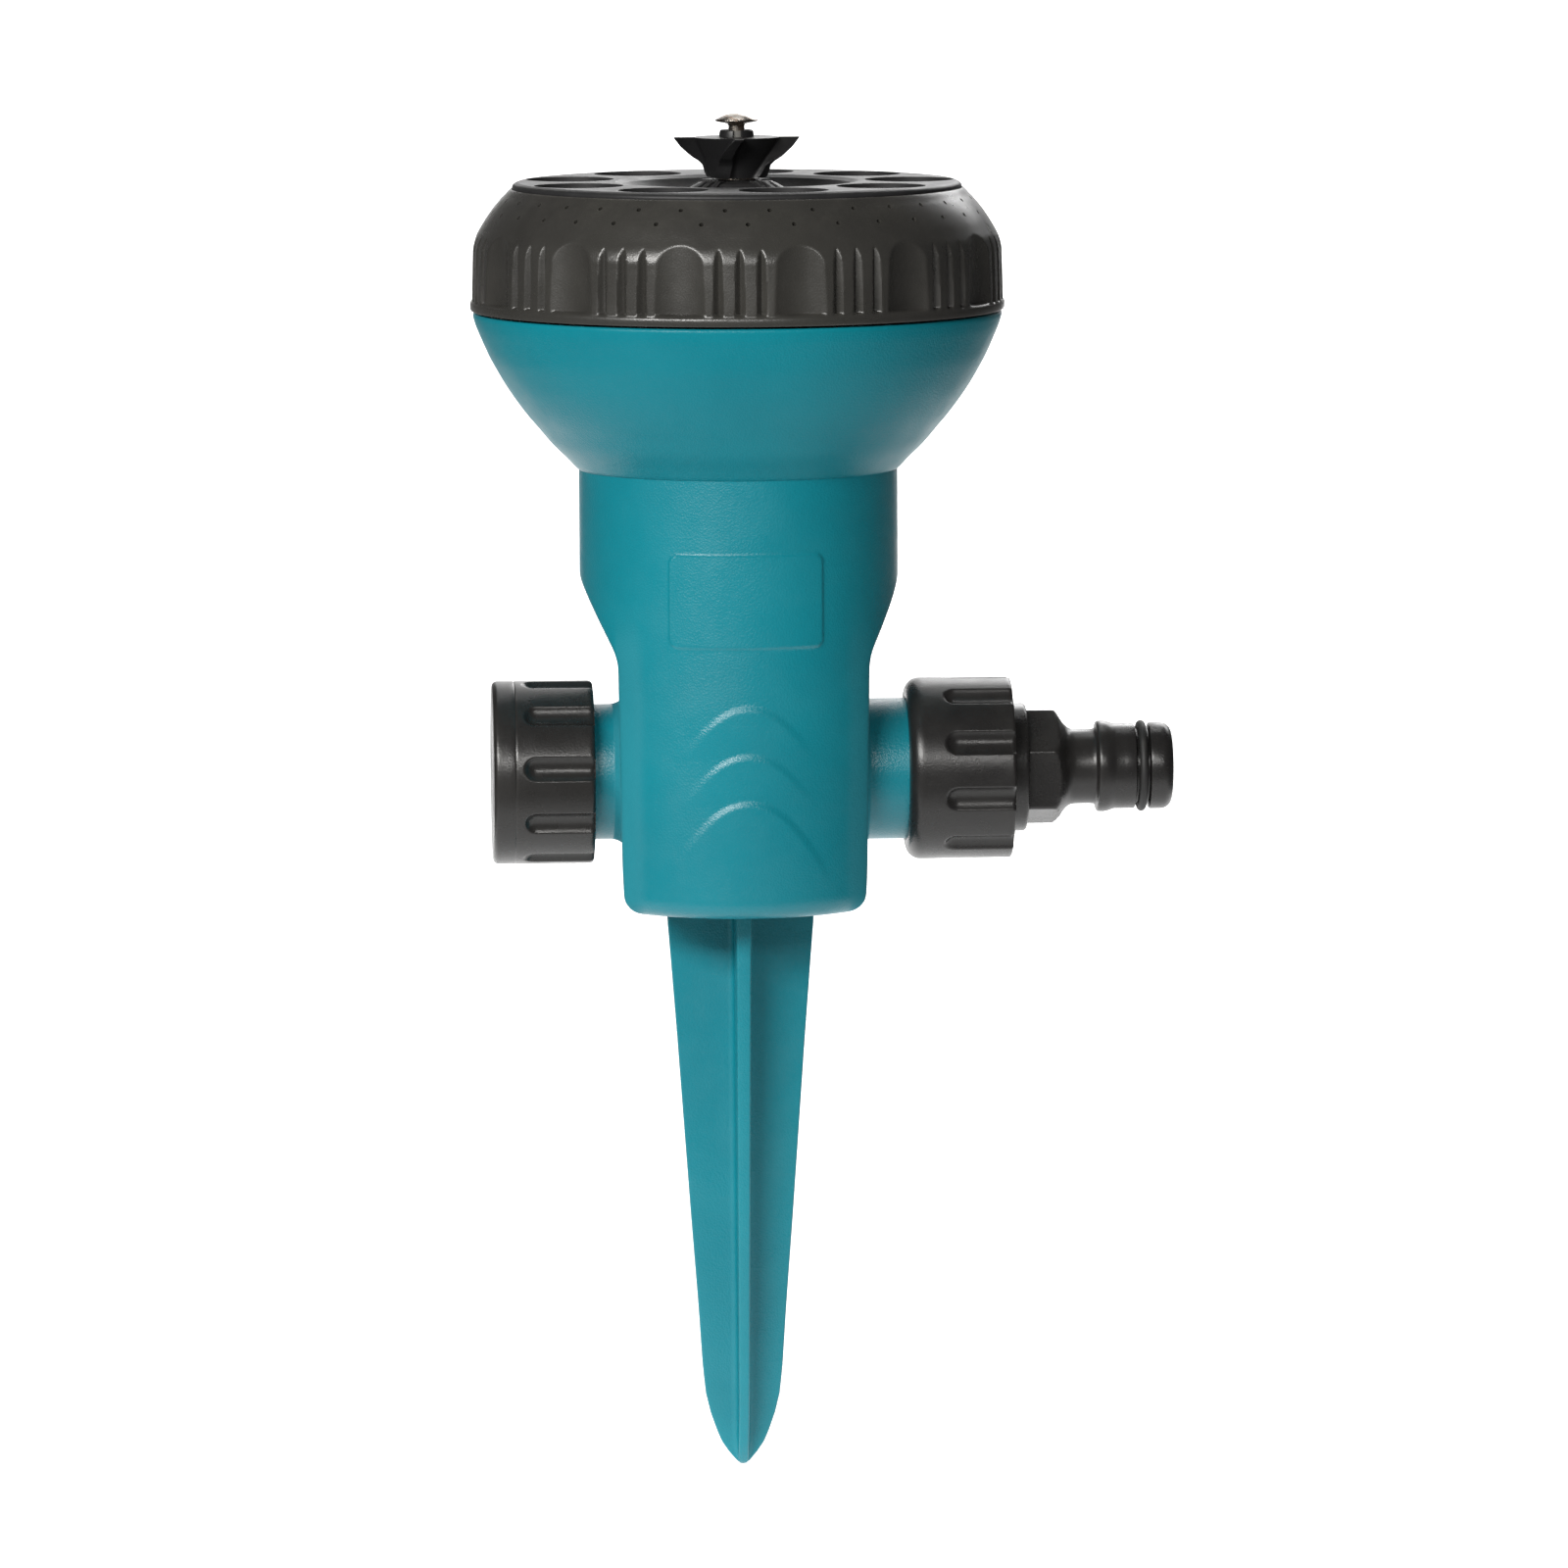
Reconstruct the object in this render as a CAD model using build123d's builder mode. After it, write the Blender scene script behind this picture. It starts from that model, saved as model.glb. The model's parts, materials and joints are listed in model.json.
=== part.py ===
from build123d import *
import os
from math import sin, cos, radians

# Nine-position dial sprinkler on a ground spike. Millimetres, +Z up.
# The origin is on the vertical axis, in the underside of the housing, where
# the spike leaves it. The front is -Y, the hose inlet is +X, the capped
# outlet is -X.
os.makedirs("parts", exist_ok=True)

# ---------------------------------------------------------------- dimensions
R_NECK = 29.7            # neck and front/back of the lower body
Z_NECK_TOP = 81.3        # where the bowl starts
Z_RIM = 110.6            # top edge of the bowl
Z_STUB = 24.5            # height of the inlet/outlet axis
R_BORE = 9.0             # waterway bore in the stubs
R_RISER = 8.5            # riser bore
R_TUBE = 11.5            # outside of the inner cross tube and riser
R_LSTUB = 12.65          # outlet stub
R_RSTUB = 13.2           # inlet stub
X_LEND = -40.8           # outlet stub face
X_REND = 36.5            # inlet stub face
PITCH = 1.814            # G 3/4 thread, 14 per inch

R_KNOB = 17.1            # cap radius
R_NUT = 17.0             # nut radius
N_FLUTE = 10
FLUTE_W, FLUTE_D = 4.5, 1.2

Z_HEAD = 111.0           # underside of the turning head
Z_TOP = 134.7            # top face of the dial
R_DIAL = 41.5
N_POS = 9
POS_STEP = 360 / N_POS
R_POS = 32.2             # pitch radius of the nine positions
A_POS = -90 + 12.5       # polar angle of position 0
R_POCKET = 8.25          # recess radius
N_GRIP = 14
GRIP_STEP = 360 / N_GRIP
R_POST = 6.0             # journal of the turning head
R_DET = 24.5             # radius of the click notches
R_HS = 17.0              # pitch radius of the head screws

SPIKE_LEN = 107.6
FIN_T = 2.7

flute_r = ((FLUTE_W / 2) ** 2 + FLUTE_D ** 2) / (2 * FLUTE_D)

# ------------------------------------------------------------------- housing
# raised rectangular pad on the front of the neck
with BuildPart() as name_pad:
    with BuildSketch(Plane.XY.offset(49)) as s:
        Circle(R_NECK + 0.32)
        Circle(R_NECK - 1.0, mode=Mode.SUBTRACT)
    extrude(amount=20)
    with BuildSketch(Plane.XZ.offset(0)) as s:
        with Locations((0, 59.0)):
            RectangleRounded(28.2, 17.2, 1.5)
    extrude(amount=40, mode=Mode.INTERSECT)

# three arched ledges, each a shallow scale that stands proud at its top edge
def arch_points(z_peak, x_mid=0.6, k=0.064, half=16.8, n=6):
    return [(x_mid + half * i / n, z_peak - k * (half * i / n) ** 2) for i in range(-n, n + 1)]

ledges = []
for z_peak, proud in ((39.7, 1.15), (30.9, 1.3), (22.2, 1.3)):
    pts = arch_points(z_peak)
    z_low = z_peak - 18.2
    with BuildPart() as ledge:
        with BuildSketch(Plane.XZ) as s:
            with BuildLine():
                Polyline((R_NECK - 1.2, z_low - 1), (R_NECK - 0.02, z_low - 1), (R_NECK - 0.02, z_low),
                         (R_NECK + proud, z_peak - 1.2), (R_NECK + proud, z_peak + 1),
                         (R_NECK - 1.2, z_peak + 1), close=True)
            make_face()
        revolve(axis=Axis.Z)
        with BuildSketch(Plane.XZ) as s:
            with BuildLine():
                Spline(*pts)
                Polyline(pts[-1], (pts[-1][0], z_low - 2), (pts[0][0], z_low - 2), pts[0])
            make_face()
        extrude(amount=45, mode=Mode.INTERSECT)
    ledges.append(ledge.part)

bowl_out = [(R_NECK, Z_NECK_TOP), (30.3, 81.7), (31.96, 83.5), (34.70, 86.2), (37.06, 89.0),
            (39.34, 91.7), (41.43, 94.5), (43.24, 97.2), (44.88, 100.0), (46.33, 102.7),
            (47.95, 106.4), (48.68, 108.2), (49.22, 110.0)]
bowl_in = [(26.8, 58.0), (26.8, 82.6), (29.4, 85.2), (34.0, 89.4), (38.6, 94.6), (41.9, 99.6),
           (44.4, 104.6), (45.9, 108.6), (46.2, Z_RIM + 1)]

with BuildPart() as housing:
    # neck and lower body: one cylinder, its sides cut flat low down
    with BuildSketch(Plane.XY) as s:
        Circle(R_NECK)
    extrude(amount=Z_NECK_TOP)
    for sx in (-1, 1):
        with BuildSketch(Plane.XZ.offset(-40)) as s:
            with BuildLine():
                Polyline((sx * 22.35, -1), (sx * 22.80, 9.0), (sx * 23.36, 45.0),
                         (sx * 23.5, 47.7), (sx * 29.75, 59.2), (sx * 36, 59.2), (sx * 36, -1), close=True)
            make_face()
        extrude(amount=80, mode=Mode.SUBTRACT)
    bottom = faces().filter_by(GeomType.PLANE).sort_by(Axis.Z)[0]
    fillet(bottom.edges(), 3.6)
    # bowl
    with BuildSketch(Plane.XZ) as s:
        with BuildLine():
            Polyline((0, Z_NECK_TOP), (R_NECK, Z_NECK_TOP), (30.3, 81.7))
            Spline(*bowl_out[1:])
            Polyline((49.22, 110.0), (49.22, Z_RIM), (0, Z_RIM), (0, Z_NECK_TOP))
        make_face()
    revolve(axis=Axis.Z)
    # pad and ledges
    add(name_pad.part)
    for solid in ledges:
        add(solid)
    # hollow of the neck and the bowl
    with BuildSketch(Plane.XZ) as s:
        with BuildLine():
            Polyline((R_TUBE, 58.0), *bowl_in, (R_TUBE, Z_RIM + 1), (R_TUBE, 58.0))
        make_face()
    revolve(axis=Axis.Z, mode=Mode.SUBTRACT)
    with BuildSketch(Plane.XY.offset(97.0)) as s:
        Circle(R_TUBE + 1)
    extrude(amount=20, mode=Mode.SUBTRACT)
    # hollow of the lower body, open below
    with BuildSketch(Plane.XY) as s:
        Circle(25.6)
        Rectangle(36.8, 60, mode=Mode.INTERSECT)
    extrude(amount=50, mode=Mode.SUBTRACT)
    # cross tube, riser and the two stubs
    with BuildSketch(Plane.YZ.offset(-21)) as s:
        with Locations((0, Z_STUB)):
            Circle(R_TUBE)
    extrude(amount=42)
    with BuildSketch(Plane.XY.offset(Z_STUB)) as s:
        Circle(R_TUBE)
    extrude(amount=34)
    with BuildSketch(Plane.XZ) as s:         # outlet stub with thread rings
        with BuildLine():
            pts = [(-20, 0), (-20, R_LSTUB), (-31.0, R_LSTUB)]
            x = -31.0
            while x - PITCH > X_LEND + 0.4:
                pts += [(x - 0.25, R_LSTUB - 0.05), (x - PITCH * 0.35, R_LSTUB + 0.53),
                        (x - PITCH * 0.55, R_LSTUB + 0.53), (x - PITCH * 0.9, R_LSTUB - 0.05)]
                x -= PITCH
            pts += [(X_LEND, R_LSTUB - 0.6), (X_LEND, 0)]
            Polyline(*[(px, Z_STUB + pr) for px, pr in pts], close=True)
        make_face()
    revolve(axis=Axis((0, 0, Z_STUB), (1, 0, 0)))
    with BuildSketch(Plane.XZ) as s:         # inlet stub with the lip that holds the nut
        with BuildLine():
            Polyline(*[(px, Z_STUB + pr) for px, pr in (
                (20, 0), (20, R_RSTUB), (33.7, R_RSTUB), (33.7, 13.9), (34.6, 13.9), (35.6, 13.0),
                (X_REND, 13.0), (X_REND, 0))], close=True)
        make_face()
    revolve(axis=Axis((0, 0, Z_STUB), (1, 0, 0)))
    # bosses: four for the port plate, two for the base plate
    with BuildSketch(Plane.XY.offset(57.5)) as s:
        with PolarLocations(22.2, 4, start_angle=45):
            Circle(3.4)
    extrude(amount=38.5)
    with BuildSketch(Plane.XY.offset(3.6)) as s:
        with Locations((0, 20.5), (0, -20.5)):
            Circle(3.3)
    extrude(amount=47)
    # waterways and screw holes
    with BuildSketch(Plane.YZ.offset(X_LEND - 1)) as s:
        with Locations((0, Z_STUB)):
            Circle(R_BORE)
    extrude(amount=X_REND - X_LEND + 2, mode=Mode.SUBTRACT)
    with BuildSketch(Plane.XY.offset(Z_STUB)) as s:
        Circle(R_RISER)
    extrude(amount=100, mode=Mode.SUBTRACT)
    with BuildSketch(Plane.XY.offset(82)) as s:
        with PolarLocations(22.2, 4, start_angle=45):
            Circle(1.25)
    extrude(amount=20, mode=Mode.SUBTRACT)
    with BuildSketch(Plane.XY.offset(3.5)) as s:
        with Locations((0, 20.5), (0, -20.5)):
            Circle(1.25)
    extrude(amount=14, mode=Mode.SUBTRACT)
housing.part.label = "housing"
export_step(housing.part, "parts/housing.step")

# base plate that closes the underside and holds the spike
with BuildPart() as base_plate:
    with BuildSketch(Plane.XY) as s:
        Circle(25.5)
        Rectangle(36.6, 60, mode=Mode.INTERSECT)
    extrude(amount=3.4)
    with BuildSketch(Plane.XY) as s:
        Circle(14.6)
    extrude(amount=11.6)
    with BuildSketch(Plane.XY.offset(-1)) as s:
        Rectangle(25.0, FIN_T + 0.1)
        Rectangle(FIN_T + 0.1, 25.0)
    extrude(amount=11, mode=Mode.SUBTRACT)
    with BuildSketch(Plane.XY.offset(-1)) as s:
        with Locations((0, 20.5), (0, -20.5)):
            Circle(1.6)
    extrude(amount=6, mode=Mode.SUBTRACT)
    with BuildSketch(Plane.XY.offset(-1)) as s:
        with Locations((0, 20.5), (0, -20.5)):
            Circle(3.1)
    extrude(amount=2.7, mode=Mode.SUBTRACT)
base_plate.part.label = "base_plate"
export_step(base_plate.part, "parts/base_plate.step")

with BuildPart() as base_plate_screws:
    for y in (20.5, -20.5):
        with BuildSketch(Plane.XY.offset(0.1)) as s:
            with Locations((0, y)):
                Circle(2.9)
        extrude(amount=1.6)
        with BuildSketch(Plane.XY.offset(1.7)) as s:
            with Locations((0, y)):
                Circle(1.25)
        extrude(amount=13)
        with BuildSketch(Plane.XY.offset(0.0)) as s:
            with Locations((0, y)):
                Rectangle(3.0, 0.7)
                Rectangle(0.7, 3.0)
        extrude(amount=1.1, mode=Mode.SUBTRACT)
base_plate_screws.part.label = "base_plate_screws"
export_step(base_plate_screws.part, "parts/base_plate_screws.step")

# ---------------------------------------------------------------- the spike
spike_half = [(13.9, -0.05), (13.7, -4.1), (13.24, -9.7), (11.97, -26.4), (10.79, -43.2), (9.6, -60.0),
              (8.32, -76.9), (7.59, -88.2), (7.03, -93.8), (6.11, -97.6), (4.81, -101.3),
              (3.98, -103.2), (2.69, -105.1), (1.0, -107.1), (0.0, -SPIKE_LEN)]
spike_outline = [(0, -0.05)] + spike_half + [(-a, b) for a, b in reversed(spike_half[:-1])]
with BuildPart() as ground_spike:
    with BuildSketch(Plane.XZ) as s:
        with BuildLine():
            Polyline(*spike_outline, close=True)
        make_face()
    extrude(amount=FIN_T / 2, both=True)
    with BuildSketch(Plane.YZ) as s:
        with BuildLine():
            Polyline(*spike_outline, close=True)
        make_face()
    extrude(amount=FIN_T / 2, both=True)
    # plug that enters the socket
    with BuildSketch(Plane.XY.offset(-0.5)) as s:
        Rectangle(24.8, FIN_T)
        Rectangle(FIN_T, 24.8)
    extrude(amount=10.2)
ground_spike.part.label = "ground_spike"
export_step(ground_spike.part, "parts/ground_spike.step")

# ------------------------------------------------------ waterway in the bowl
PORT = (R_POS * cos(radians(A_POS)), R_POS * sin(radians(A_POS)))
with BuildPart() as port_plate:
    with BuildSketch(Plane.XY.offset(97.1)) as s:
        Circle(40.0)
    extrude(amount=6.9)
    with BuildSketch(Plane.XY.offset(89.0)) as s:
        Circle(R_RISER - 0.1)
    extrude(amount=9)
    with BuildSketch(Plane.XY.offset(103)) as s:
        Circle(9.0)
    extrude(amount=5)
    with BuildSketch(Plane.XY.offset(107.9)) as s:   # journal
        Circle(R_POST)
    extrude(amount=13.0)
    with BuildSketch(Plane.XY.offset(103)) as s:     # port boss
        with Locations(PORT):
            Circle(9.0)
    extrude(amount=7.2)
    # way from the riser to the port
    with BuildSketch(Plane.XY.offset(88)) as s:
        Circle(6.0)
    extrude(amount=14.5, mode=Mode.SUBTRACT)
    with BuildSketch(Plane.XY.offset(99.0)) as s:
        with Locations((PORT[0] / 2, PORT[1] / 2)):
            Rectangle(R_POS, 8.0, rotation=A_POS)
    extrude(amount=3.5, mode=Mode.SUBTRACT)
    with BuildSketch(Plane.XY.offset(99.0)) as s:
        with Locations(PORT):
            Circle(4.0)
    extrude(amount=20, mode=Mode.SUBTRACT)
    with BuildSketch(Plane.XY.offset(104.0)) as s:   # seal pocket
        with Locations(PORT):
            Circle(6.6)
    extrude(amount=20, mode=Mode.SUBTRACT)
    # retainer groove and O-ring groove on the journal, O-ring groove on the spigot
    for z0, h, r in ((118.0, 1.3, 5.0), (111.8, 1.6, 4.8)):
        with BuildSketch(Plane.XY.offset(z0)) as s:
            Circle(R_POST + 1)
            Circle(r, mode=Mode.SUBTRACT)
        extrude(amount=h, mode=Mode.SUBTRACT)
    with BuildSketch(Plane.XY.offset(91.0)) as s:
        Circle(R_RISER + 1)
        Circle(7.0, mode=Mode.SUBTRACT)
    extrude(amount=1.8, mode=Mode.SUBTRACT)
    # screw holes and counterbores
    with BuildSketch(Plane.XY.offset(96)) as s:
        with PolarLocations(22.2, 4, start_angle=45):
            Circle(1.7)
    extrude(amount=12, mode=Mode.SUBTRACT)
    with BuildSketch(Plane.XY.offset(102.2)) as s:
        with PolarLocations(22.2, 4, start_angle=45):
            Circle(3.2)
    extrude(amount=6, mode=Mode.SUBTRACT)
    # seat and screw hole of the detent spring
    with BuildSketch(Plane.XY.offset(98.5)) as s:
        with Locations((-18.0, R_DET)):
            Circle(1.25)
    extrude(amount=6, mode=Mode.SUBTRACT)
port_plate.part.label = "port_plate"
export_step(port_plate.part, "parts/port_plate.step")

with BuildPart() as port_plate_screws:
    with BuildSketch(Plane.XY.offset(102.2)) as s:
        with PolarLocations(22.2, 4, start_angle=45):
            Circle(2.9)
    extrude(amount=1.6)
    with BuildSketch(Plane.XY.offset(86.0)) as s:
        with PolarLocations(22.2, 4, start_angle=45):
            Circle(1.25)
    extrude(amount=16.2)
port_plate_screws.part.label = "port_plate_screws"
export_step(port_plate_screws.part, "parts/port_plate_screws.step")

with BuildPart() as port_plate_o_ring:
    with BuildSketch(Plane.XZ) as s:
        with Locations((7.72, 91.9)):
            Circle(0.72)
    revolve(axis=Axis.Z)
port_plate_o_ring.part.label = "port_plate_o_ring"
export_step(port_plate_o_ring.part, "parts/port_plate_o_ring.step")

with BuildPart() as journal_o_ring:
    with BuildSketch(Plane.XZ) as s:
        with Locations((5.42, 112.6)):
            Circle(0.6)
    revolve(axis=Axis.Z)
journal_o_ring.part.label = "journal_o_ring"
export_step(journal_o_ring.part, "parts/journal_o_ring.step")

# spring ring above the head's hub
with BuildPart() as head_retainer:
    with BuildSketch(Plane.XY.offset(118.1)) as s:
        Circle(9.0)
        Circle(5.05, mode=Mode.SUBTRACT)
        with Locations((8, 0)):
            Rectangle(10, 4.5, mode=Mode.SUBTRACT)
    extrude(amount=1.1)
head_retainer.part.label = "head_retainer"
export_step(head_retainer.part, "parts/head_retainer.step")

# rubber cup that floats on its spring against the head
with BuildPart() as port_seal:
    with BuildSketch(Plane.XY.offset(107.6)) as s:
        with Locations(PORT):
            Circle(6.52)
            Circle(3.6, mode=Mode.SUBTRACT)
    extrude(amount=5.3)
port_seal.part.label = "port_seal"
export_step(port_seal.part, "parts/port_seal.step")

with BuildPart() as port_seal_spring:
    with BuildLine() as coil:
        Helix(pitch=0.93, height=2.79, radius=5.2, center=(PORT[0], PORT[1], 104.42))
    with BuildSketch(Plane(origin=coil.line @ 0, z_dir=coil.line % 0)) as s:
        Circle(0.34)
    sweep(path=coil.line, is_frenet=True)
port_seal_spring.part.label = "port_seal_spring"
export_step(port_seal_spring.part, "parts/port_seal_spring.step")

# stainless leaf that clicks into the head, and its screw
with BuildPart() as detent_spring:
    with BuildSketch(Plane.XZ.offset(-R_DET)) as s:
        with BuildLine():
            Polyline((-22.5, 104.05), (-14.5, 104.05), (-2.6, 111.9), (0, 113.3), (2.6, 111.9), (4.4, 111.2),
                     (4.6, 111.6), (2.8, 112.3), (0, 113.75 - 0.05), (-2.8, 112.3), (-14.7, 104.5), (-22.5, 104.5), close=True)
        make_face()
    extrude(amount=2.0, both=True)
    with BuildSketch(Plane.XY.offset(103)) as s:
        with Locations((-18.0, R_DET)):
            Circle(1.5)
    extrude(amount=3, mode=Mode.SUBTRACT)
detent_spring.part.label = "detent_spring"
export_step(detent_spring.part, "parts/detent_spring.step")

with BuildPart() as detent_screw:
    with BuildSketch(Plane.XY.offset(104.5)) as s:
        with Locations((-18.0, R_DET)):
            Circle(2.4)
    extrude(amount=1.4)
    with BuildSketch(Plane.XY.offset(98.8)) as s:
        with Locations((-18.0, R_DET)):
            Circle(1.25)
    extrude(amount=5.8)
    with BuildSketch(Plane.XY.offset(105.1)) as s:
        with Locations((-18.0, R_DET)):
            Rectangle(2.6, 0.6)
            Rectangle(0.6, 2.6)
    extrude(amount=2, mode=Mode.SUBTRACT)
detent_screw.part.label = "detent_screw"
export_step(detent_screw.part, "parts/detent_screw.step")

# -------------------------------------------------------------- turning head
with BuildPart() as channel_plate:
    with BuildSketch(Plane.XY.offset(112.95)) as s:
        Circle(45.6)
    extrude(amount=3.0)
    with BuildSketch(Plane.XY.offset(112.95)) as s:   # hub on the journal
        Circle(10.5)
    extrude(amount=5.05)
    with BuildSketch(Plane.XY.offset(115.9)) as s:    # nine risers
        with PolarLocations(R_POS, N_POS, start_angle=A_POS):
            Circle(7.6)
    extrude(amount=12.9)
    with BuildSketch(Plane.XY.offset(110)) as s:
        with PolarLocations(R_POS, N_POS, start_angle=A_POS):
            Circle(3.4)
    extrude(amount=8, mode=Mode.SUBTRACT)
    with BuildSketch(Plane.XY.offset(117.0)) as s:
        with PolarLocations(R_POS, N_POS, start_angle=A_POS):
            Circle(6.2)
    extrude(amount=15, mode=Mode.SUBTRACT)
    with BuildSketch(Plane.XY.offset(110)) as s:
        Circle(R_POST + 0.08)
    extrude(amount=10, mode=Mode.SUBTRACT)
    # click notches for the detent
    with BuildSketch(Plane.XY.offset(112.0)) as s:
        with PolarLocations(R_DET, N_POS, start_angle=90):
            Rectangle(5.4, 5.0)
    extrude(amount=1.9, mode=Mode.SUBTRACT)
    # counterbored holes of the three screws that hold the dial
    with BuildSketch(Plane.XY.offset(112)) as s:
        with PolarLocations(R_HS, 3, start_angle=30):
            Circle(1.6)
    extrude(amount=6, mode=Mode.SUBTRACT)
    with BuildSketch(Plane.XY.offset(112)) as s:
        with PolarLocations(R_HS, 3, start_angle=30):
            Circle(2.9)
    extrude(amount=2.3, mode=Mode.SUBTRACT)
channel_plate.part.label = "channel_plate"
export_step(channel_plate.part, "parts/channel_plate.step")

collar_top = [(49.48, 113.2), (49.40, 117.0), (49.27, 121.0), (49.17, 122.8), (48.62, 124.6),
              (47.61, 126.4), (46.51, 128.2), (45.14, 130.1), (43.59, 131.9), (42.76, 132.6)]
with BuildPart() as selector_collar:
    with BuildSketch(Plane.XZ) as s:
        with BuildLine():
            Polyline((45.8, Z_HEAD), (49.5, Z_HEAD), (49.72, 111.3), (49.72, 112.5), (49.48, 112.8), (49.48, 113.2))
            Spline(*collar_top)
            Polyline((42.76, 132.6), (40.2, 132.6), (40.2, 130.6), (42.0, 129.6), (43.9, 127.4), (46.2, 124.2),
                     (46.6, 121.0), (46.6, 116.2), (45.75, 116.0), (45.75, 112.9), (43.2, 112.9), (43.2, Z_HEAD), (45.8, Z_HEAD))
        make_face()
    revolve(axis=Axis.Z)
    # grip: three narrow grooves and one wide scallop, fourteen times
    for da in (-4.6, 0.0, 4.6):
        with BuildSketch(Plane.XY.offset(112.9)) as s:
            with PolarLocations(49.5, N_GRIP, start_angle=-90 - 2.3 + da):
                Polygon((-1.0, 0), (0.6, -1.15), (0.6, 1.15), align=None)
        extrude(amount=13, mode=Mode.SUBTRACT)
    with BuildSketch(Plane.XY.offset(112.9)) as s:
        with PolarLocations(48.25 + 9.0, N_GRIP, start_angle=-90 + 10.6):
            Circle(9.0)
    extrude(amount=12.6, mode=Mode.SUBTRACT)
    # two staggered rows of spray holes through the shoulder
    for n_a, z_h, r_h in ((-5.7, 131.8, 43.7), (-0.4, 129.3, 45.7)):
        for k in range(34):
            a = -90 + n_a + 360 / 34 * k
            d = Vector(cos(radians(a)) * 0.72, sin(radians(a)) * 0.72, 0.69)
            p = Vector(r_h * cos(radians(a)), r_h * sin(radians(a)), z_h)
            with BuildSketch(Plane(origin=p + d * 1.0, z_dir=d)) as s:
                Circle(0.5)
            extrude(amount=-5, mode=Mode.SUBTRACT)
selector_collar.part.label = "selector_collar"
export_step(selector_collar.part, "parts/selector_collar.step")

with BuildPart() as pattern_dial:
    with BuildSketch(Plane.XZ) as s:
        with BuildLine():
            Polyline((0, 129.0), (39.9, 129.0), (39.9, 132.9), (41.0, 132.9))
            ThreePointArc((41.0, 132.9), (41.75, 133.7), (41.2, 134.5))
            Polyline((41.2, 134.5), (40.7, Z_TOP), (22.6, Z_TOP), (21.3, 134.2))
            Spline((21.3, 134.2), (19.5, 132.8), (16.8, 131.5), (14.0, 131.2), (12.4, 131.5))
            Polyline((12.4, 131.5), (7.2, 134.4), (3.6, 134.9), (3.6, 135.0), (0, 135.0), (0, 129.0))
        make_face()
    revolve(axis=Axis.Z)
    with BuildSketch(Plane.XY.offset(132.2)) as s:     # nine recesses
        with PolarLocations(R_POS, N_POS, start_angle=A_POS):
            Circle(R_POCKET)
    extrude(amount=5, mode=Mode.SUBTRACT)
    # a different nozzle pattern in each recess
    with BuildSketch(Plane.XY.offset(128)) as s:
        for k in range(N_POS):
            a = A_POS + POS_STEP * k
            with Locations(Location((R_POS * cos(radians(a)), R_POS * sin(radians(a)), 0), (0, 0, a))):
                if k == 0:
                    with PolarLocations(5.4, 10):
                        Circle(0.55)
                elif k == 1:
                    with GridLocations(2.6, 2.6, 4, 4):
                        Circle(0.5)
                elif k == 2:
                    SlotOverall(10.0, 1.2, rotation=90)
                elif k == 3:
                    with PolarLocations(3.2, 6):
                        SlotOverall(3.4, 0.9)
                elif k == 4:
                    Circle(1.6)
                elif k == 5:
                    with GridLocations(2.2, 1, 5, 1):
                        SlotOverall(4.6, 0.9, rotation=90)
                elif k == 6:
                    with PolarLocations(5.4, 14):
                        Circle(0.5)
                    with PolarLocations(2.8, 7):
                        Circle(0.5)
                elif k == 7:
                    with PolarLocations(4.6, 5, start_angle=-50, angular_range=100):
                        Circle(0.6)
                else:
                    with PolarLocations(3.6, 3, start_angle=90):
                        Circle(1.1)
    extrude(amount=5, mode=Mode.SUBTRACT)
    # ribs down the hub's cone, in four groups of three
    for k in range(4):
        for da in (-14, 0, 14):
            a = 45 + 90 * k + da
            with BuildSketch(Plane(origin=(0, 0, 0), x_dir=(cos(radians(a)), sin(radians(a)), 0),
                                   z_dir=(sin(radians(a)), -cos(radians(a)), 0))) as s:
                with BuildLine():
                    Polyline((5.0, 133.0), (15.2, 131.0), (15.2, 131.5), (12.0, 132.4), (7.2, 134.9), (5.0, 134.9), close=True)
                make_face()
            extrude(amount=0.45, both=True)
    # post under the hub that takes the axle, and the axle's hole
    with BuildSketch(Plane.XY.offset(121.4)) as s:
        Circle(4.2)
    extrude(amount=8)
    with BuildSketch(Plane.XY.offset(120)) as s:
        Circle(1.5)
    extrude(amount=20, mode=Mode.SUBTRACT)
    with BuildSketch(Plane.XY.offset(116.0)) as s:
        with PolarLocations(R_HS, 3, start_angle=30):
            Circle(3.0)
    extrude(amount=13.2)
    with BuildSketch(Plane.XY.offset(115.0)) as s:
        with PolarLocations(R_HS, 3, start_angle=30):
            Circle(1.25)
    extrude(amount=12, mode=Mode.SUBTRACT)
pattern_dial.part.label = "pattern_dial"
export_step(pattern_dial.part, "parts/pattern_dial.step")

# rubber ring between dial and collar
with BuildPart() as dial_gasket:
    with BuildSketch(Plane.XY.offset(128.8)) as s:
        with PolarLocations(R_POS, N_POS, start_angle=A_POS):
            Circle(7.9)
        with PolarLocations(R_POS, N_POS, start_angle=A_POS):
            Circle(6.2, mode=Mode.SUBTRACT)
    extrude(amount=0.2)
dial_gasket.part.label = "dial_gasket"
export_step(dial_gasket.part, "parts/dial_gasket.step")

# three screws from below hold dial, collar and channel plate together
with BuildPart() as head_screws:
    with BuildSketch(Plane.XY.offset(113.0)) as s:
        with PolarLocations(R_HS, 3, start_angle=30):
            Circle(2.6)
    extrude(amount=1.3)
    with BuildSketch(Plane.XY.offset(114.3)) as s:
        with PolarLocations(R_HS, 3, start_angle=30):
            Circle(1.25)
    extrude(amount=11.0)
head_screws.part.label = "head_screws"
export_step(head_screws.part, "parts/head_screws.step")

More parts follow.
